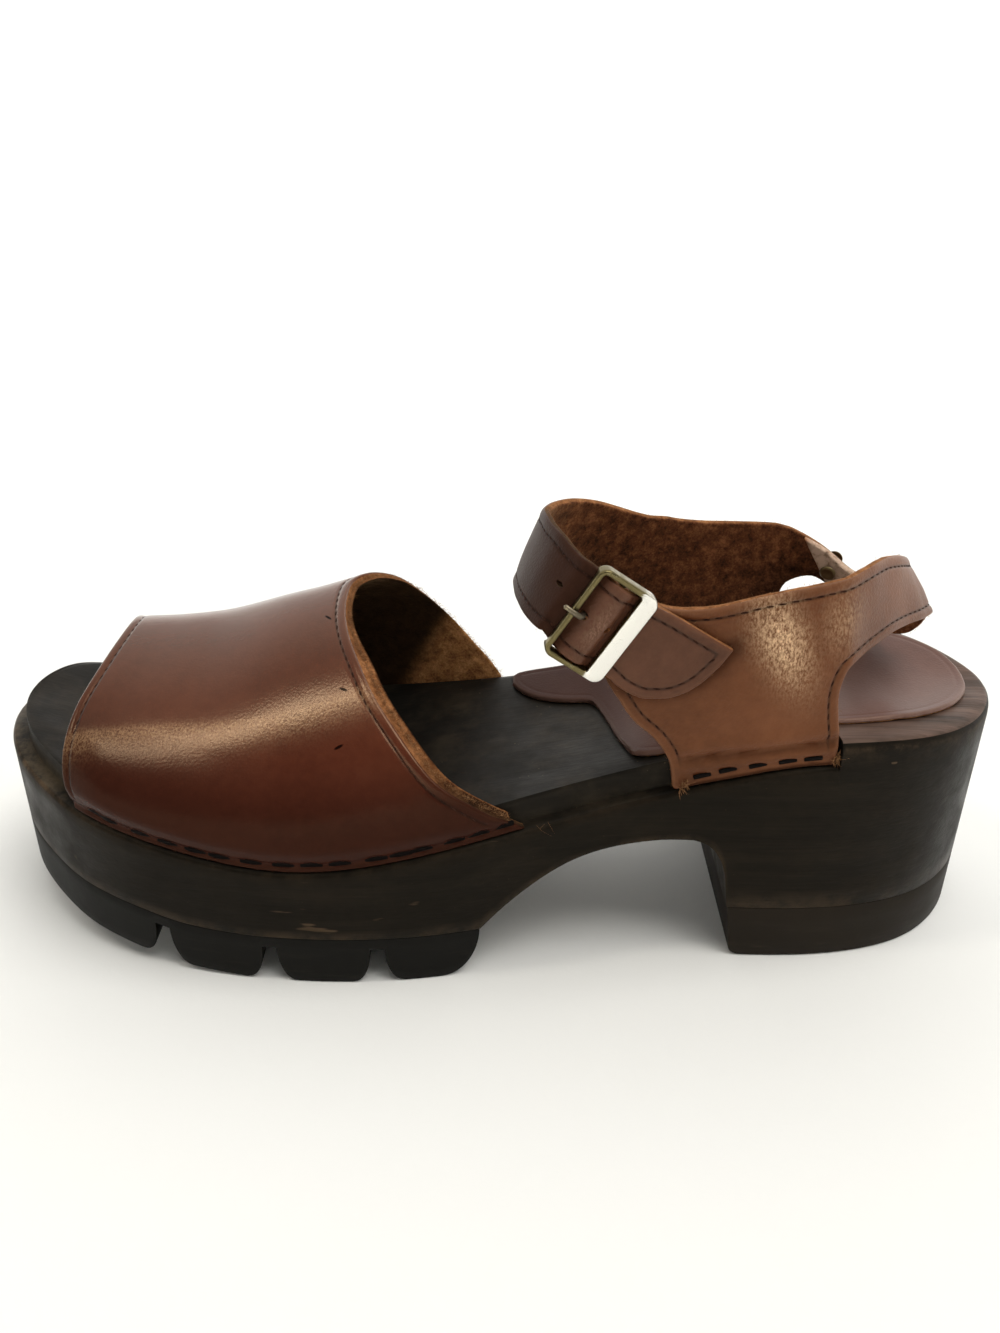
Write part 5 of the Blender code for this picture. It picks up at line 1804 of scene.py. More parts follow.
@dataclass
class BuckleForm:
    """The buckle's own directions: along the strap, across it and outwards."""

    point: Point = (23.6, -36.5, 98.8)
    slope: float = 33.9
    lean: float = 4.0
    bar_along: float = -0.9
    bar_height: float = 1.8
    bar_radius: float = 0.9

    def axes(self) -> Tuple[Array, Array, Array]:
        """Directions of the buckle.

        Returns:
            Unit directions along, across and out.
        """
        slope, lean = math.radians(self.slope), math.radians(self.lean)
        along = np.array([math.cos(slope), 0.0, -math.sin(slope)])
        up = np.array([math.sin(slope), 0.0, math.cos(slope)])
        inward = np.array([0.0, 1.0, 0.0])
        across = math.cos(lean) * up + math.sin(lean) * inward
        return along, across, math.sin(lean) * up - math.cos(lean) * inward

    def at(self, along: object, across: object, out: object) -> Array:
        """Points given in the buckle's directions; the three arguments broadcast.

        Args:
            along: places along the strap.
            across: places across it.
            out: heights.
        Returns:
            Points in the shoe's frame.
        """
        first, second, third = self.axes()
        s, w, n = np.broadcast_arrays(*(np.asarray(v, dtype=float)[..., None] for v in (along, across, out)))
        return np.array(self.point) + s * first + w * second + n * third


def rib_sweep(ribs: Array, spacing: float, inside: int) -> Lines:
    """Sheet swept through ribs: steady cubics through the rib ends, a half-sine bulge across.

    Args:
        ribs: lower point, upper point and outward bulge of each rib.
        spacing: distance between rows in millimetres.
        inside: lines between the crowded edge bands.
    Returns:
        Grid of points, and the rib number of each row.
    """
    number = np.arange(len(ribs), dtype=float)
    coarse = np.linspace(0.0, number[-1], 60 * len(ribs))
    rough = np.stack([steady(number, ribs[:, k], coarse) for k in range(6)], axis=1)
    steps = [np.linalg.norm(np.diff(ends, axis=0), axis=1) for ends in (rough[:, :3], rough[:, 3:])]
    run = np.concatenate([[0.0], np.cumsum(np.maximum(*steps))])
    ends = np.array(EDGE_LINES[:7])
    count = int((run[-1] - 2.0 * ends[-1]) / spacing)
    inner = np.linspace(ends[-1], run[-1] - ends[-1], count)[1:-1]
    place = np.interp(np.concatenate([ends, inner, run[-1] - ends[::-1]]), run, coarse)
    smooth = np.stack([steady(number, ribs[:, k], place) for k in range(7)], axis=1)
    low, high = smooth[:, None, :3], smooth[:, None, 3:6]
    share = edge_shares(np.linalg.norm(smooth[:, 3:6] - smooth[:, :3], axis=1), inside)[:, :, None]
    grid = low * (1.0 - share) + high * share
    out = unit(np.cross(np.gradient(grid, axis=0), np.gradient(grid, axis=1)))
    return grid + out * np.sin(np.pi * share) * smooth[:, None, 6:7], place


@dataclass
class Strapwork:
    """Shared rules of the two strap pieces: ribs, edge distances, seams and stapled feet."""

    form: SoleForm
    buckle: BuckleForm
    finishes: Finishes
    thickness: float = 2.2
    stitch_inset: float = 2.6
    row_spacing: float = 0.75
    far_off: float = 60.0
    steel: StapleRow = field(default_factory=lambda: StapleRow(wide=4.4, tall=1.3, dent=0.6))
    staples: Table = ((51.0, 2.9), (57.0, 3.2), (64.0, 2.9), (71.0, 2.6), (77.0, 2.4))
    table: Table = ()
    foot_ribs: Tuple[int, int] = (0, 0)

    def buckle_ribs(self, along: Array, low: Number, high: Number, out: Array) -> Array:
        """Straight ribs across the buckle.

        Args:
            along: place of each rib along the strap.
            low: its lower end across.
            high: its upper end across.
            out: its height.
        Returns:
            Lower point, upper point and no bulge, by rib.
        """
        ends = [self.buckle.at(along, low, out), self.buckle.at(along, high, out)]
        return np.concatenate(ends + [np.zeros((len(along), 1))], axis=1)

    @staticmethod
    def edges(grid: Array) -> Tuple[Array, Array, Array]:
        """Distances of a swept sheet from its lower edge, upper edge and two ends."""
        ends = np.minimum(distance_to(grid, grid[0]), distance_to(grid, grid[-1]))
        return distance_to(grid, grid[::2, 0]), distance_to(grid, grid[::2, -1]), ends

    def staple_row(self, side: Side) -> Lines:
        """Staples along the foot.

        Args:
            side: which side the foot is on.
        Returns:
            Their centres and directions along the row.
        """
        x, height = columns(self.staples)
        foot = np.array(sorted(self.table[self.foot_ribs[0]: self.foot_ribs[1]]))
        y = np.interp(x, foot[:, 0], foot[:, 1]) - 0.05 * side.out()
        z = self.form.ledge_height(x) + self.form.fit_gap + height
        ahead = unit(np.column_stack([np.ones(len(x)), 0.0 * x, self.form.ledge_slope(x)]))
        return np.column_stack([x, y, z]), ahead

    def sew(self, sheet: Sheet, place: Array, runs: Sequence[Tuple[Array, float, float, Cut]]) -> Surface:
        """Seam threads on a sheet.

        Args:
            sheet: the leather.
            place: rib number of each row.
            runs: distance from the edge, first and last rib number, and the edge of each seam.
        Returns:
            All threads.
        """
        made = None
        for distance, first, last, cut in runs:
            rows = np.flatnonzero((place > first) & (place < last))
            part = Seam().surface(*sheet.inset_line(distance, rows, self.stitch_inset, cut))
            made = part if made is None else made.add(part)
        return made


@dataclass
class Quarter(Strapwork):
    """Outer quarter with its folded tab, and the sling round the heel."""

    tab_half: float = 9.4
    fold_radius: float = 1.8
    fold_angles: Tuple[float, ...] = (-140.0, -124.0, -107.0, -90.0)
    slot_half: float = 1.3
    slot_reach: float = 3.4
    foot_window: Tuple[float, ...] = (9.6, 10.2, 14.9, 15.4)
    sewn_window: Tuple[float, ...] = (4.6, 5.4, 27.0, 27.6)
    crease_line: Table = ((44.0, 60.5), (50.0, 61.6), (64.0, 63.7), (79.0, 66.5), (84.0, 67.2))
    tail: Table = (
        (9.0, -10.6), (12.5, -11.4), (16.0, -11.4), (20.0, -10.5), (23.8, -8.2), (26.8, -5.0), (28.9, -0.5),
        (30.0, 6.4), (29.9, 9.0), (30.2, 11.4),
    )
    corner_tufts: Tuple[Tuple[int, Point], ...] = ((31, (46.6, -36.2, 53.2)), (32, (82.4, -36.6, 62.0)))
    tuft_lean: Point = (0.4, -0.8, -0.3)
    foot_ribs: Tuple[int, int] = (4, 10)
    table: Table = (
        (29.0, -36.2, 78.4, 38.0, -36.0, 101.6, 0.0), (33.2, -35.9, 71.9, 41.0, -35.9, 100.9, 0.0),
        (39.0, -35.4, 66.0, 43.8, -35.8, 100.7, 0.1), (42.6, -35.1, 60.0, 46.4, -35.6, 100.7, 0.3),
        (44.8, -35.1, 51.7, 48.8, -35.5, 100.9, 0.4), (52.0, -35.6, 53.8, 51.0, -35.3, 101.2, 0.6),
        (60.0, -36.1, 56.0, 53.2, -35.2, 101.7, 0.7), (68.0, -36.5, 58.1, 55.4, -35.1, 102.3, 0.9),
        (76.0, -36.6, 59.5, 57.4, -35.0, 102.8, 1.0), (82.4, -36.4, 60.1, 59.4, -34.9, 103.4, 1.1),
        (82.6, -36.4, 66.3, 61.8, -34.8, 103.9, 0.9), (81.7, -36.2, 72.5, 64.8, -34.6, 104.5, 0.7),
        (81.0, -35.7, 79.0, 70.0, -34.3, 105.5, 0.5), (83.0, -34.2, 85.4, 78.6, -32.2, 106.6, 0.3),
        (89.3, -27.2, 86.5, 86.8, -25.3, 106.8, 0.2), (95.8, -20.5, 86.9, 92.9, -17.6, 105.9, 0.2),
        (103.2, -12.0, 85.5, 99.6, -9.0, 103.1, 0.2), (111.2, -3.5, 83.6, 103.6, -1.5, 99.8, 0.2),
        (115.4, 3.5, 81.9, 105.6, 3.5, 97.4, 0.2), (115.0, 9.0, 75.5, 106.8, 8.8, 90.0, 0.2),
        (111.0, 14.5, 71.3, 104.6, 14.0, 85.6, 0.2), (105.0, 20.4, 71.6, 99.6, 20.0, 86.2, 0.1),
        (99.4, 24.0, 75.8, 92.2, 24.3, 91.0, 0.0), (95.2, 25.4, 78.3, 86.0, 26.4, 94.0, 0.0),
    )

    def ribs(self) -> Array:
        """Ribs of the tab, folded in front of the centre bar, then of the quarter and sling.

        Returns:
            Lower point, upper point and bulge, by rib.
        """
        turn = np.radians(self.fold_angles)
        s = np.concatenate([self.buckle.bar_along + self.fold_radius * np.cos(turn), [3.0, 6.0]])
        n = np.concatenate([self.buckle.bar_height + self.fold_radius * np.sin(turn), [0.0, 0.0]])
        return np.concatenate([self.buckle_ribs(s, -self.tab_half, self.tab_half, n), np.array(self.table)])

    @staticmethod
    def painted_highlight(grid: Array) -> Array:
        """Painted highlight patch on the upper quarter: a bell about a line that leans to the heel, and a
        fainter painted sheen on the sling.

        Args:
            grid: points of the sheet.
        Returns:
            Values from 0 to 1.
        """
        x, z = grid[:, :, 0] - 65.0, grid[:, :, 2] - 95.0
        patch = bell(0.91 * x + 0.42 * z, 0.0, 5.0) * bell(0.42 * x - 0.91 * z, 2.0, 11.0)
        sling = bell(grid[:, :, 0], 80.0, 5.0) * bell(grid[:, :, 2], 97.0, 7.0)
        return np.where(grid[:, :, 1] < 0.0, np.maximum(0.95 * patch, 0.3 * sling), 0.0)

    def crease(self, grid: Array) -> Lines:
        """Crease that runs along the outer foot.

        Args:
            grid: points of the sheet.
        Returns:
            Height above the crease, and how strong the crease is there.
        """
        strong = np.where(grid[:, :, 1] < -30.0, window(grid[:, :, 0], (43.0, 48.0, 81.0, 84.0)), 0.0)
        return grid[:, :, 2] - np.interp(grid[:, :, 0], *columns(self.crease_line)), strong

    def shade(self, grid: Array, foot: Array) -> Array:
        """Painted shade: a painted shadow under the tail's rim, and shade in the crease and along the stapled
        foot.

        Args:
            grid: points of the sheet.
            foot: distance from the stapled edge.
        Returns:
            Values from 0 to 1.
        """
        rim = self.buckle.at(*columns(self.tail), 0.0)
        under = 0.85 * bell(distance_to(grid, rim), 0.0, 2.6) * (grid[:, :, 1] < 0.0)
        above, strong = self.crease(grid)
        crease = strong * (0.35 * bell(above, -0.3, 0.8) + 0.25 * (1.0 - smooth_step(-1.0, 0.6, above)))
        return np.clip(np.maximum(under, np.maximum(crease, 1.0 - smooth_step(0.6, 1.6, foot))), 0.0, 1.0)

    def slot_mask(self, grid: Array) -> Array:
        """Cells that stay: all but the prong's slot in the tab.

        Args:
            grid: points of the sheet.
        Returns:
            True for each cell that stays.
        """
        along, across, _ = self.buckle.axes()
        offset = corner_stack(grid).mean(axis=-1) - np.array(self.buckle.point)
        near = np.linalg.norm(offset, axis=2) < 12.0
        return ~(near & (offset @ along < self.slot_reach) & (np.abs(offset @ across) < self.slot_half))

    def build(self) -> None:
        """Build the sheet, its seams, staples and fibres."""
        grid, place = rib_sweep(self.ribs(), self.row_spacing, 34)
        low, high, ends = self.edges(grid)
        seam = np.minimum(low, high)
        edge = np.minimum(seam, ends)
        off_foot = 1.0 - window(place, self.foot_window)[:, None]
        foot = low + self.far_off * off_foot
        sewn = window(place, self.sewn_window)[:, None] * np.where(low < high, off_foot, 1.0)
        relief = 0.22 * waves(grid, 30.0, 14) * smooth_step(2.0, 9.0, edge)
        relief += stitch_relief(seam, sewn, (0.26, self.stitch_inset, 0.42), (0.14, 1.2, 0.8))
        above, strong = self.crease(grid)
        swell = 0.4 * (bell(above, 2.8, 2.0) + bell(above, -2.4, 1.4))
        relief += strong * (swell - 0.75 * bell(above, 0.0, 1.0))
        spots, aheads = self.staple_row(Side.OUTER)
        relief -= self.steel.press(grid, spots)
        sheet = Sheet(
            grid, self.thickness, relief, edge, sewn, keep=self.slot_mask(grid), painted_highlight_share=self.painted_highlight(grid),
            shade=self.shade(grid, foot),
        )
        surface = sheet.surface()
        x, y = surface.points[:, 0], surface.points[:, 1]
        # pale flecks on the sling's end: partly its paler flesh, partly painted light where it faces away
        # from the lights
        surface.values["pale"] = smooth_step(85.0, 88.0, x) * smooth_step(16.0, 20.0, y)
        materials = self.finishes.pick("quarter", "raw_edge", "strap_suede")
        write_piece("quarter_and_sling", surface, materials, ["quarter_slingback"])
        threads = self.sew(sheet, place, (
            (low, 5.0, 9.75, Cut.FIRST), (low, 15.3, 27.0, Cut.FIRST), (high, 5.0, 27.0, Cut.LAST),
        ))
        ups = self.form.side(spots[:, 0], Side.OUTER)[1]
        steel = self.steel.surface(spots, np.column_stack([ups, np.zeros(len(ups))]), aheads)
        fuzz = Fuzz(420, 0.7, 0.03, 15).surface(*sheet.cut_line(Cut.FIRST))
        fuzz.add(Fuzz(300, 0.6, 0.03, 16).surface(*sheet.cut_line(Cut.LAST)))
        for seed, corner in self.corner_tufts:
            knot = np.array(corner) + np.array([[-0.6, 0.0, -1.2], [0.6, 0.0, 1.2]])
            fuzz.add(Fuzz(44, 1.7, 0.07, seed).surface(knot, np.array([self.tuft_lean] * 2)))
        write_trim("quarter", self.finishes, threads, steel, fuzz)


@dataclass
class AnkleStrap(Strapwork):
    """Inner quarter, instep strap and the tail through the buckle."""

    holes: Table = ((-12.0, 2.0, 0.6), (-4.7, 0.0, 1.0), (1.9, 0.0, 0.8))
    window_fill: float = 0.9
    foot_window: Tuple[float, ...] = (4.6, 5.1, 9.9, 10.4)
    # ribs where the strap's front gets painted shade
    dark_window: Tuple[float, ...] = (16.5, 18.5, 23.0, 26.0)
    foot_ribs: Tuple[int, int] = (5, 11)
    table: Table = (
        (104.0, 24.8, 74.0, 99.4, 24.2, 83.6, 0.0), (98.8, 28.0, 77.0, 94.4, 27.7, 88.8, 0.0),
        (90.0, 30.4, 81.2, 86.6, 30.1, 93.4, 0.0), (83.5, 31.0, 79.0, 81.5, 30.6, 95.6, 0.1),
        (81.6, 31.5, 72.0, 78.0, 30.9, 96.3, 0.3), (82.4, 31.5, 60.1, 74.0, 30.8, 96.6, 0.6),
        (76.0, 31.5, 59.5, 69.5, 30.6, 96.8, 0.8), (68.0, 31.4, 58.1, 64.5, 30.3, 97.0, 0.8),
        (60.0, 31.2, 56.0, 59.5, 29.9, 97.2, 0.8), (52.0, 31.0, 53.8, 54.5, 29.3, 97.7, 0.8),
        (44.8, 30.9, 51.7, 50.5, 28.5, 98.4, 0.8), (42.6, 30.9, 59.5, 47.0, 27.7, 99.3, 0.7),
        (39.0, 30.5, 66.0, 43.0, 26.6, 99.9, 0.6), (34.0, 29.5, 72.5, 38.5, 25.0, 101.5, 0.5),
        (27.5, 27.4, 79.0, 33.0, 22.7, 104.0, 0.4), (19.5, 23.0, 84.4, 26.5, 19.0, 107.0, 0.3),
        (11.5, 15.4, 88.4, 19.5, 13.2, 109.5, 0.3), (6.0, 5.0, 91.2, 13.8, 4.6, 111.2, 0.3),
        (4.7, -6.0, 93.8, 11.9, -5.6, 113.2, 0.3), (4.9, -16.5, 95.9, 12.5, -15.5, 114.9, 0.3),
        (6.0, -26.5, 97.1, 14.7, -25.4, 115.4, 0.3), (8.0, -34.2, 97.3, 17.8, -33.0, 114.1, 0.2),
    )
    in_buckle: Table = (
        (-10.4, 1.9, -8.6, 10.2), (-8.2, 2.4, -8.8, 10.2), (-6.2, 2.65, -9.0, 10.2), (-4.4, 4.4, -9.1, 10.1),
        (-2.6, 5.2, -9.1, 10.1), (-0.9, 5.3, -9.2, 10.0), (0.6, 5.0, -9.3, 10.0), (1.9, 4.0, -9.4, 10.0),
        (3.1, 2.75, -9.5, 10.0), (8.2, 2.5, -9.6, 10.1), (10.2, 2.5, -9.9, 10.3), (12.5, 2.5, -10.4, 10.5),
        (16.0, 2.5, -10.4, 10.7), (20.0, 2.5, -9.5, 10.8), (23.6, 2.5, -7.2, 10.9), (26.4, 2.5, -4.1, 11.0),
        (28.4, 2.5, 0.2, 11.1), (29.5, 2.5, 6.4, 11.1),
    )

    def ribs(self) -> Array:
        """Ribs from the lap at the heel, over the instep, to the end of the tail.

        Returns:
            Lower point, upper point and bulge, by rib.
        """
        along, out, low, high = columns(self.in_buckle)
        low = low - self.window_fill * window(along, (-9.0, -6.4, 3.0, 8.0))
        return np.concatenate([np.array(self.table), self.buckle_ribs(along, low, high, out)])

    def pierce(self, sheet: Sheet) -> None:
        """Leave out the cells inside each hole and bring the cells round it onto a circle.

        Args:
            sheet: the strap, whose grid is changed.
        """
        grid = sheet.grid
        keep = np.ones((grid.shape[0] - 1, grid.shape[1] - 1), dtype=bool)
        first, second, third = self.buckle.axes()
        for along, across, radius in self.holes:
            offset = grid - self.buckle.at(along, across, 3.0)
            flat = np.stack([offset @ first, offset @ second], axis=2)
            middle = corner_stack(flat).mean(axis=-1)
            near = corner_stack(np.abs(offset @ third)).mean(axis=-1) < 6.0
            inside = (np.linalg.norm(middle, axis=2) < radius) & near
            keep &= ~inside
            around = corner_stack(np.pad(inside, 1))
            rim = around.any(axis=-1) & ~around.all(axis=-1)
            reach = np.linalg.norm(flat[rim], axis=1)
            push = flat[rim] * (radius / np.maximum(reach, 1e-6) - 1.0)[:, None]
            grid[rim] += push[:, :1] * first + push[:, 1:] * second
        sheet.keep = keep

    def painted_highlight_share(self, grid: Array) -> Array:
        """Painted highlight on the strap's hump over the centre bar: a bell along and across it.

        Args:
            grid: points of the sheet.
        Returns:
            Values from 0 to 1.
        """
        offset = grid - self.buckle.at(-0.6, -0.5, 5.3)
        first, second, _ = self.buckle.axes()
        hump = 0.55 * bell(offset @ first, 0.0, 1.7) * bell(offset @ second, 0.0, 6.0)
        return np.where(grid[:, :, 1] < 0.0, hump, 0.0)

    def build(self) -> None:
        """Build the sheet, its seams, staples and fibres."""
        grid, place = rib_sweep(self.ribs(), self.row_spacing, 24)
        low, high, ends = self.edges(grid)
        edge = np.minimum(np.minimum(low, high), ends)
        off_foot = 1.0 - window(place, self.foot_window)[:, None]
        foot = low + self.far_off * off_foot
        sewn = smooth_step(1.0, 1.6, place)[:, None] * np.where(low < high, off_foot, 1.0)
        off_tail = 1.0 - smooth_step(31.0, 32.0, place)[:, None]
        seam = np.minimum(np.minimum(low, high), ends + self.far_off * off_tail)
        uneven = smooth_step(2.0, 8.0, edge) * (1.0 - smooth_step(20.0, 22.0, place))[:, None]
        relief = 0.16 * waves(grid, 26.0, 24) * uneven
        relief += stitch_relief(seam, sewn, (0.22, self.stitch_inset, 0.42), (0.10, 1.2, 0.8))
        spots, aheads = self.staple_row(Side.INNER)
        relief += 0.45 * bell(foot, 12.5, 2.6) - 0.5 * bell(foot, 9.2, 1.5) - self.steel.press(grid, spots)
        # painted shade on the strap's front and at the stapled foot
        front = 0.95 * window(place, self.dark_window)[:, None]
        shade = np.maximum(front, 1.0 - smooth_step(0.6, 1.6, foot))
        # painted shade inside the strap: darker towards the lower edge and towards the front
        deep = 0.62 * smooth_step(0.35, 0.95, high / np.maximum(low + high, 1e-6))
        deep = np.clip(deep + 0.3 * smooth_step(15.0, 19.0, place)[:, None], 0.0, 1.0)
        sheet = Sheet(
            grid, self.thickness, relief, edge, sewn, painted_highlight_share=self.painted_highlight_share(grid), shade=shade, flesh_shade=deep,
        )
        self.pierce(sheet)
        materials = self.finishes.pick("strap", "raw_edge", "strap_suede")
        write_piece("ankle_strap_leather", sheet.surface(), materials, ["ankle_strap"])
        last = float(place[-1])
        threads = self.sew(sheet, place, (
            (high, 1.4, last - 2.2, Cut.LAST), (low, 10.2, last - 0.7, Cut.FIRST), (low, 1.4, 4.6, Cut.FIRST),
        ))
        steel = self.steel.surface(spots, np.array([[0.0, 1.0, 0.0]]), aheads)
        fuzz = Fuzz(320, 0.6, 0.03, 25).surface(*sheet.cut_line(Cut.FIRST))
        fuzz.add(Fuzz(360, 0.7, 0.03, 26).surface(*sheet.cut_line(Cut.LAST)))
        write_trim("ankle_strap", self.finishes, threads, steel, fuzz)


@dataclass
class Buckle:
    """Brass frame with a wide polished bar, a centre bar and a wire prong."""

    form: BuckleForm
    finishes: Finishes
    back: float = 7.8
    front: float = 8.0
    half: float = 12.0
    rail: float = 1.5
    thin_bar: float = 1.4
    wide_bar: float = 4.4
    base: float = 1.5
    under_bars: float = 3.1
    top: float = 5.0
    corner: float = 2.4
    window_corner: float = 0.7
    bar_end: float = 0.8
    bar_sides: int = 20
    prong_radius: float = 0.7
    prong_sides: int = 16
    rounding: Table = ((0.0, 0.9), (0.08, 0.45), (0.22, 0.17), (0.42, 0.04))
    prong: Table = (
        (0.85, 1.3), (0.35, 0.5), (-0.9, 0.03), (-2.1, 0.35), (-3.0, 0.6), (-3.7, 1.1), (-4.2, 2.1),
        (-4.6, 3.3),
        (-4.95, 4.6), (-5.6, 5.9), (-6.7, 6.25), (-8.0, 6.1), (-10.1, 5.5),
    )

    @staticmethod
    def ring(low: float, high: float, half: float, corner: float) -> Array:
        """Rounded rectangle: four quarter circles, each followed by points along a straight side.

        Args:
            low: lowest place along the strap.
            high: highest place along the strap.
            half: half width across.
            corner: corner radius.
        Returns:
            Places along and across, in order round the ring.
        """
        turn = np.linspace(0.0, 0.5 * np.pi, 9)
        arcs = []
        for quarter, (s, w) in enumerate(((high, half), (low, half), (low, -half), (high, -half))):
            angle = turn + quarter * 0.5 * np.pi
            middle = np.array([s - corner * np.sign(s - 0.5 * (low + high)), w - corner * np.sign(w)])
            arcs.append(middle + corner * np.stack([np.cos(angle), np.sin(angle)], axis=1))
        parts = []
        share = np.linspace(0.0, 1.0, 12)[1:-1, None]
        for arc, following in zip(arcs, arcs[1:] + arcs[:1]):
            parts += [arc, arc[-1] * (1.0 - share) + following[0] * share]
        return np.concatenate(parts)

    def frame_rows(self) -> List[Array]:
        """Rows of the frame's section, from the outer foot over the top to the inner foot.

        Returns:
            Points round the frame, row by row; the last row is the first again.
        """
        outer = self.ring(-self.back, self.front, self.half, self.corner)
        inner = self.ring(
            -self.back + self.thin_bar, self.front - self.wide_bar, self.half - self.rail, self.window_corner
        )
        width = np.linalg.norm(inner - outer, axis=1)
        reaches = [0.0 * width] + [np.minimum(inset, 0.42 * width) for inset, _ in self.rounding]
        shares = [reach / width for reach in reaches]
        drops = [None] + [drop for _, drop in self.rounding]
        shares += [np.full(len(width), 0.5)] + [1.0 - share for share in shares[::-1]]
        rows = []
        for share, drop in zip(shares, drops + [0.0] + drops[::-1]):
            flat = outer * (1.0 - share[:, None]) + inner * share[:, None]
            low = self.base + (self.under_bars - self.base) * smooth_step(10.5, 9.3, np.abs(flat[:, 1]))
            rows.append(self.form.at(flat[:, 0], flat[:, 1], low if drop is None else self.top - drop))
        return rows + rows[:1]

    def build_frame(self) -> None:
        """Frame: a rounded section carried round between the outer ring and the window, and its bar."""
        rows = self.frame_rows()
        surface = Surface.of_grid(np.stack(rows), 0, True)
        along, _, out = self.form.axes()
        polish = [
            (1.0 if 4 <= number <= 6 else 0.35)
            * (0.12 + 0.88 * smooth_step(3.0, 4.2, (row - np.array(self.form.point)) @ along))
            for number, row in enumerate(rows)
        ]
        reach = self.half - self.bar_end
        core = self.form.at(self.form.bar_along, np.linspace(-reach, reach, 5), self.form.bar_height)
        turn = circle(self.bar_sides)[:, None]
        ring = self.form.bar_radius * (np.cos(turn) * along + np.sin(turn) * out)
        bar = Surface.of_rings(core[None], ring[None, None], np.ones(len(core)))
        surface.add(bar)
        surface.values["shine"] = np.concatenate(polish + [np.zeros(len(bar.points))])
        materials = self.finishes.pick("brass")
        write_piece("buckle_frame_brass", surface, materials, ["buckle_frame"], 42.0)

    def build_prong(self) -> None:
        """Prong: a circle carried along a bent wire, flattened and rounded at its tip."""
        along, out = columns(self.prong)
        row = np.arange(len(along), dtype=float)
        at = np.linspace(0.0, len(along) - 1.0, 90)
        core = self.form.at(spline(row, along, at), 0.0, spline(row, out, at))
        side = self.form.axes()[1][None, None, :]
        up = unit(np.cross(side[0], unit(np.gradient(core, axis=0))))
        run = line_runs(core)
        left = run[-1] - run
        tip = np.sqrt(np.clip(1.0 - (1.0 - np.clip(left / 0.7, 0.0, 1.0)) ** 2, 0.0004, 1.0))
        girth = self.prong_radius * tip * (1.0 - 0.14 * smooth_step(6.0, 0.0, left))
        turn = circle(self.prong_sides)[None, :, None]
        ring = np.cos(turn) * side + 0.92 * np.sin(turn) * up[:, None, :]
        surface = Surface.of_rings(core[None], ring[None], girth)
        surface.values["shine"] = np.repeat(smooth_step(5.0, 2.0, left), self.prong_sides)
        materials = self.finishes.pick("prong")
        write_piece("buckle_prong_brass", surface, materials, ["buckle_prong"], 60.0)

    def build(self) -> None:
        """Build frame and prong."""
        self.build_frame()
        self.build_prong()


@dataclass
class Rivets:
    """Two brass rivets through the lap of the straps: a profile turned about each axis."""

    finishes: Finishes
    places: Tuple[Tuple[str, float, float, float], ...] = (
        ("rivet_upper", 95.3, 27.8, 86.5), ("rivet_lower", 96.9, 28.0, 81.6),
    )
    direction: Point = (0.46, 0.85, 0.26)
    cap_radius: float = 2.2
    cap_height: float = 1.5
    back_radius: float = 2.2
    back_height: float = 0.8
    shank: float = 1.1
    grip: float = 6.5
    sides: int = 40
    base: float = 0.5

    def profile(self) -> Lines:
        """Section from the dome's top to the middle of the back.

        Returns:
            Radius and height of each point, and how worn it is.
        """
        angle = np.linspace(0.5 * np.pi, 0.12, 12)
        rise = self.base + self.cap_height * np.sin(angle)
        dome = np.stack([self.cap_radius * np.cos(angle), rise], axis=1)
        inside, end = -self.grip, -self.grip - self.back_height
        rest = np.array([
            (self.cap_radius, self.base + 0.12), (self.cap_radius - 0.15, self.base), (self.shank, self.base),
            (self.shank, inside), (self.back_radius - 0.2, inside), (self.back_radius, inside - 0.2),
            (self.back_radius, inside - 0.5 * self.back_height), (self.back_radius - 0.25, end + 0.08),
            (1.4, end), (0.9, end + 0.25), (0.0, end + 0.3),
        ])
        wear_and_highlight = np.concatenate([np.linspace(1.0, 0.1, len(dome)), np.zeros(len(rest))])
        return np.concatenate([dome, rest]), wear_and_highlight

    def build(self) -> None:
        """Turn both rivets."""
        out = unit(np.array(self.direction))
        side = unit(np.cross((0.0, 0.0, 1.0), out))
        up = np.cross(out, side)
        turn = circle(self.sides)
        profile, wear_and_highlight = self.profile()
        ring = np.cos(turn)[:, None] * side + np.sin(turn)[:, None] * up
        for name, *place in self.places:
            grid = np.array(place) + profile[:, None, :1] * ring[None, :, :] + profile[:, None, 1:] * out
            surface = Surface.of_grid(grid, 0, True)
            surface.values["shine"] = np.repeat(wear_and_highlight, len(turn))
            write_piece(name + "_dome", surface, self.finishes.pick("rivet"), [name], 50.0)


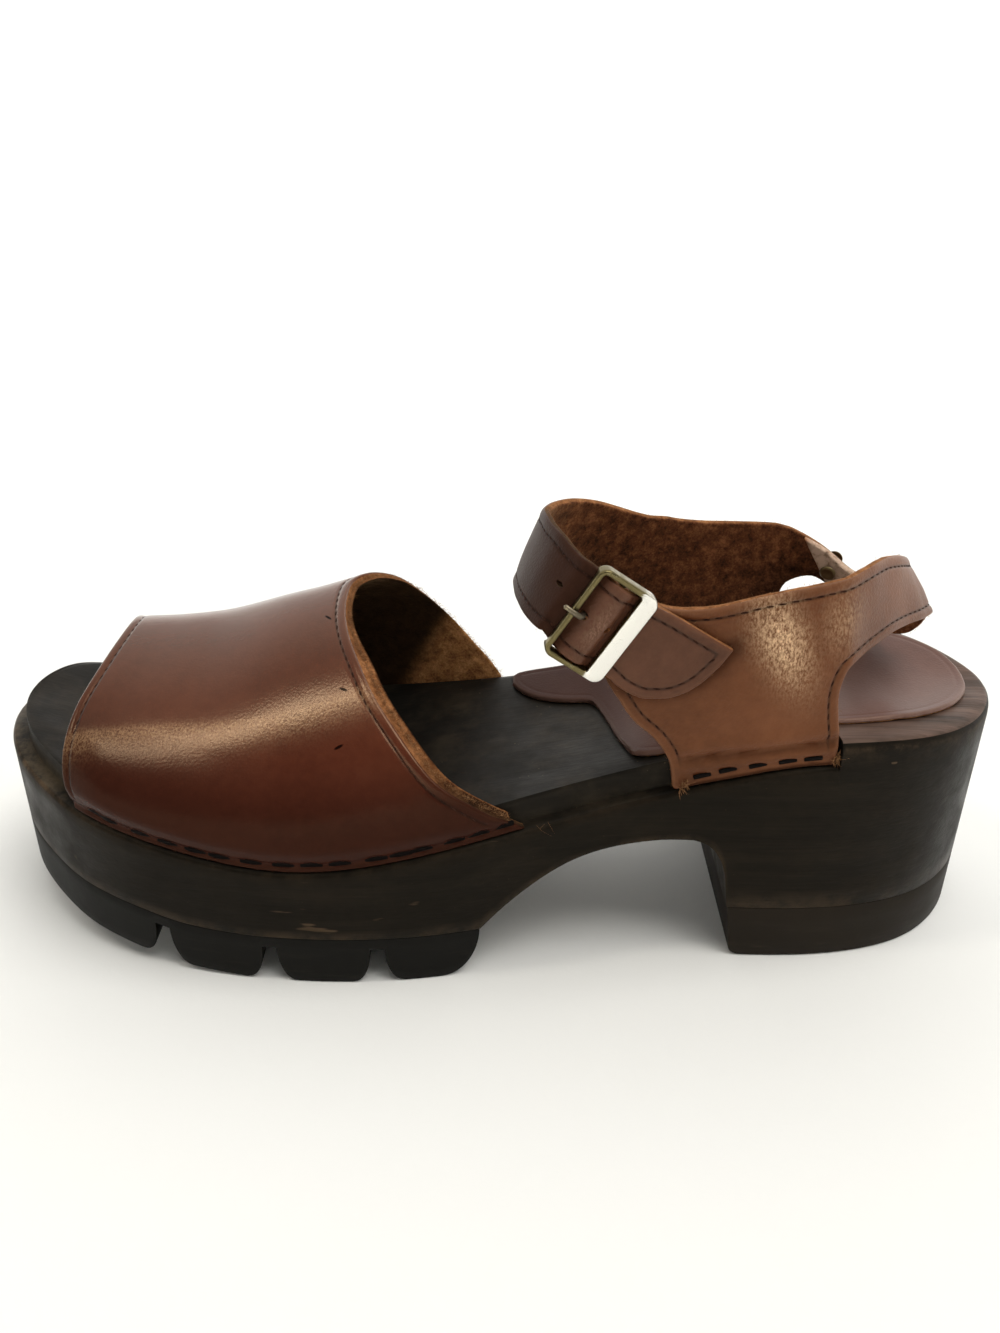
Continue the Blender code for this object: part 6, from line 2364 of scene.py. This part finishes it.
@dataclass
class Studio:
    """Pale floor, soft lights and the camera."""

    lens: float = 30.026
    sensor: float = 36.0
    flat_radius: float = 2.2
    floor_radius: float = 3.0
    cove_height: float = 1.1
    aim: Point = (0.0, 0.0, 0.05)
    sky: Table = ((0.28, 0.08), (0.5, 0.21), (0.6, 0.40), (0.72, 0.76), (0.85, 1.0))
    sky_strength: float = 1.25
    camera_rows: Table = (
        (0.99999, -0.00492, -0.00197, 0.00114),
        (0.00061, 0.47695, -0.87893, -0.257),
        (0.00526, 0.87891, 0.47695, 0.20823),
        (0.0, 0.0, 0.0, 1.0),
    )

    def build_floor(self) -> None:
        """Flat disc that rises in a cove at its rim: height is the square of what passes the flat."""
        radius = np.concatenate([
            np.linspace(0.0, 1.0, 30)[1:] ** 2 * self.flat_radius,
            np.linspace(self.flat_radius + 0.05, self.floor_radius, 14),
        ])[:, None]
        turn = circle(96)
        passed = np.clip((radius - self.flat_radius) / (self.floor_radius - self.flat_radius), 0.0, 1.0)
        height = self.cove_height * passed ** 2 * np.ones(len(turn))
        grid = np.stack([radius * np.cos(turn), radius * np.sin(turn), height], axis=2)
        surface = Surface.of_grid(grid, 0, True)
        points = np.concatenate([surface.points, [[0.0, 0.0, 0.0]]])
        first = np.arange(len(turn))
        fan = np.stack([first, np.roll(first, -1), np.full(len(turn), len(points) - 1)], axis=1)
        mesh = bpy.data.meshes.new("floor")
        mesh.from_pydata(points.tolist(), [], surface.faces[0].tolist() + fan.tolist())
        mesh.polygons.foreach_set("use_smooth", np.ones(len(mesh.polygons), dtype=bool))
        mesh.materials.append(ClothFinish("floor_cloth", (0.90, 0.895, 0.86)).material())
        floor = bpy.data.objects.new("floor", mesh)
        bpy.context.scene.collection.objects.link(floor)

    def light(self, name: str, spot: Point, size: Tuple[float, float], watts: float, colour: Colour) -> None:
        """Hang one soft rectangular light that faces the shoe.

        Args:
            name: the light's name.
            spot: where it hangs.
            size: its two sides in metres.
            watts: its power.
            colour: its colour.
        """
        lamp = bpy.data.lights.new(name, "AREA")
        lamp.shape = "RECTANGLE"
        lamp.size, lamp.size_y = size
        lamp.energy = watts
        lamp.color = colour
        made = bpy.data.objects.new(name, lamp)
        back = unit(np.array(spot) - np.array(self.aim))
        side = unit(np.cross((0.0, 1.0, 0.02), back))
        matrix = np.eye(4)
        matrix[:3] = np.column_stack([side, np.cross(back, side), back, spot])
        made.matrix_world = Matrix(matrix.tolist())
        bpy.context.scene.collection.objects.link(made)

    def build_sky(self) -> None:
        """Surround that is bright behind the shoe and dim in front of it, by the direction's Y."""
        world = bpy.data.worlds.new("surround")
        world.use_nodes = True
        tree = world.node_tree
        kinds = ("ShaderNodeTexCoord", "ShaderNodeSeparateXYZ", "ShaderNodeMapRange", "ShaderNodeValToRGB")
        place, split, level, shade = (tree.nodes.new(kind) for kind in kinds)
        level.inputs["From Min"].default_value = -1.0
        fill_ramp(shade.color_ramp, [(spot, (value,) * 3) for spot, value in self.sky])
        sky = tree.nodes["Background"]
        tree.links.new(place.outputs["Generated"], split.inputs[0])
        tree.links.new(split.outputs["Y"], level.inputs["Value"])
        tree.links.new(level.outputs[0], shade.inputs["Fac"])
        tree.links.new(shade.outputs["Color"], sky.inputs["Color"])
        sky.inputs["Strength"].default_value = self.sky_strength
        bpy.context.scene.world = world

    def build(self) -> None:
        """Set floor, lights, sky and camera."""
        self.build_floor()
        self.light("strip_light", (-2.1, -0.33, 3.7), (0.95, 0.42), 20.0, (1.0, 0.95, 0.86))
        self.light("softbox", (1.3, -0.6, 3.8), (3.0, 2.6), 114.0, (1.0, 0.99, 0.97))
        self.build_sky()
        lens = bpy.data.cameras.new("camera")
        lens.lens = self.lens
        lens.sensor_width = self.sensor
        lens.sensor_fit = "AUTO"
        lens.clip_start = 0.01
        camera = bpy.data.objects.new("camera", lens)
        camera.matrix_world = Matrix(self.camera_rows)
        bpy.context.scene.collection.objects.link(camera)
        bpy.context.scene.camera = camera
        bpy.context.scene.view_settings.view_transform = "Standard"


def main() -> None:
    """Build the shoe's pieces in order, then the studio."""
    logging.basicConfig(level=logging.INFO, format="%(name)s %(message)s")
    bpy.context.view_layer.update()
    finishes = Finishes()
    form = SoleForm()
    buckle = BuckleForm()
    Sole(form, finishes).build()
    HeelPad(form, finishes).build()
    Vamp(form, finishes).build()
    Quarter(form, buckle, finishes).build()
    AnkleStrap(form, buckle, finishes).build()
    Buckle(buckle, finishes).build()
    Rivets(finishes).build()
    Studio().build()


if __name__ == "__main__":
    main()
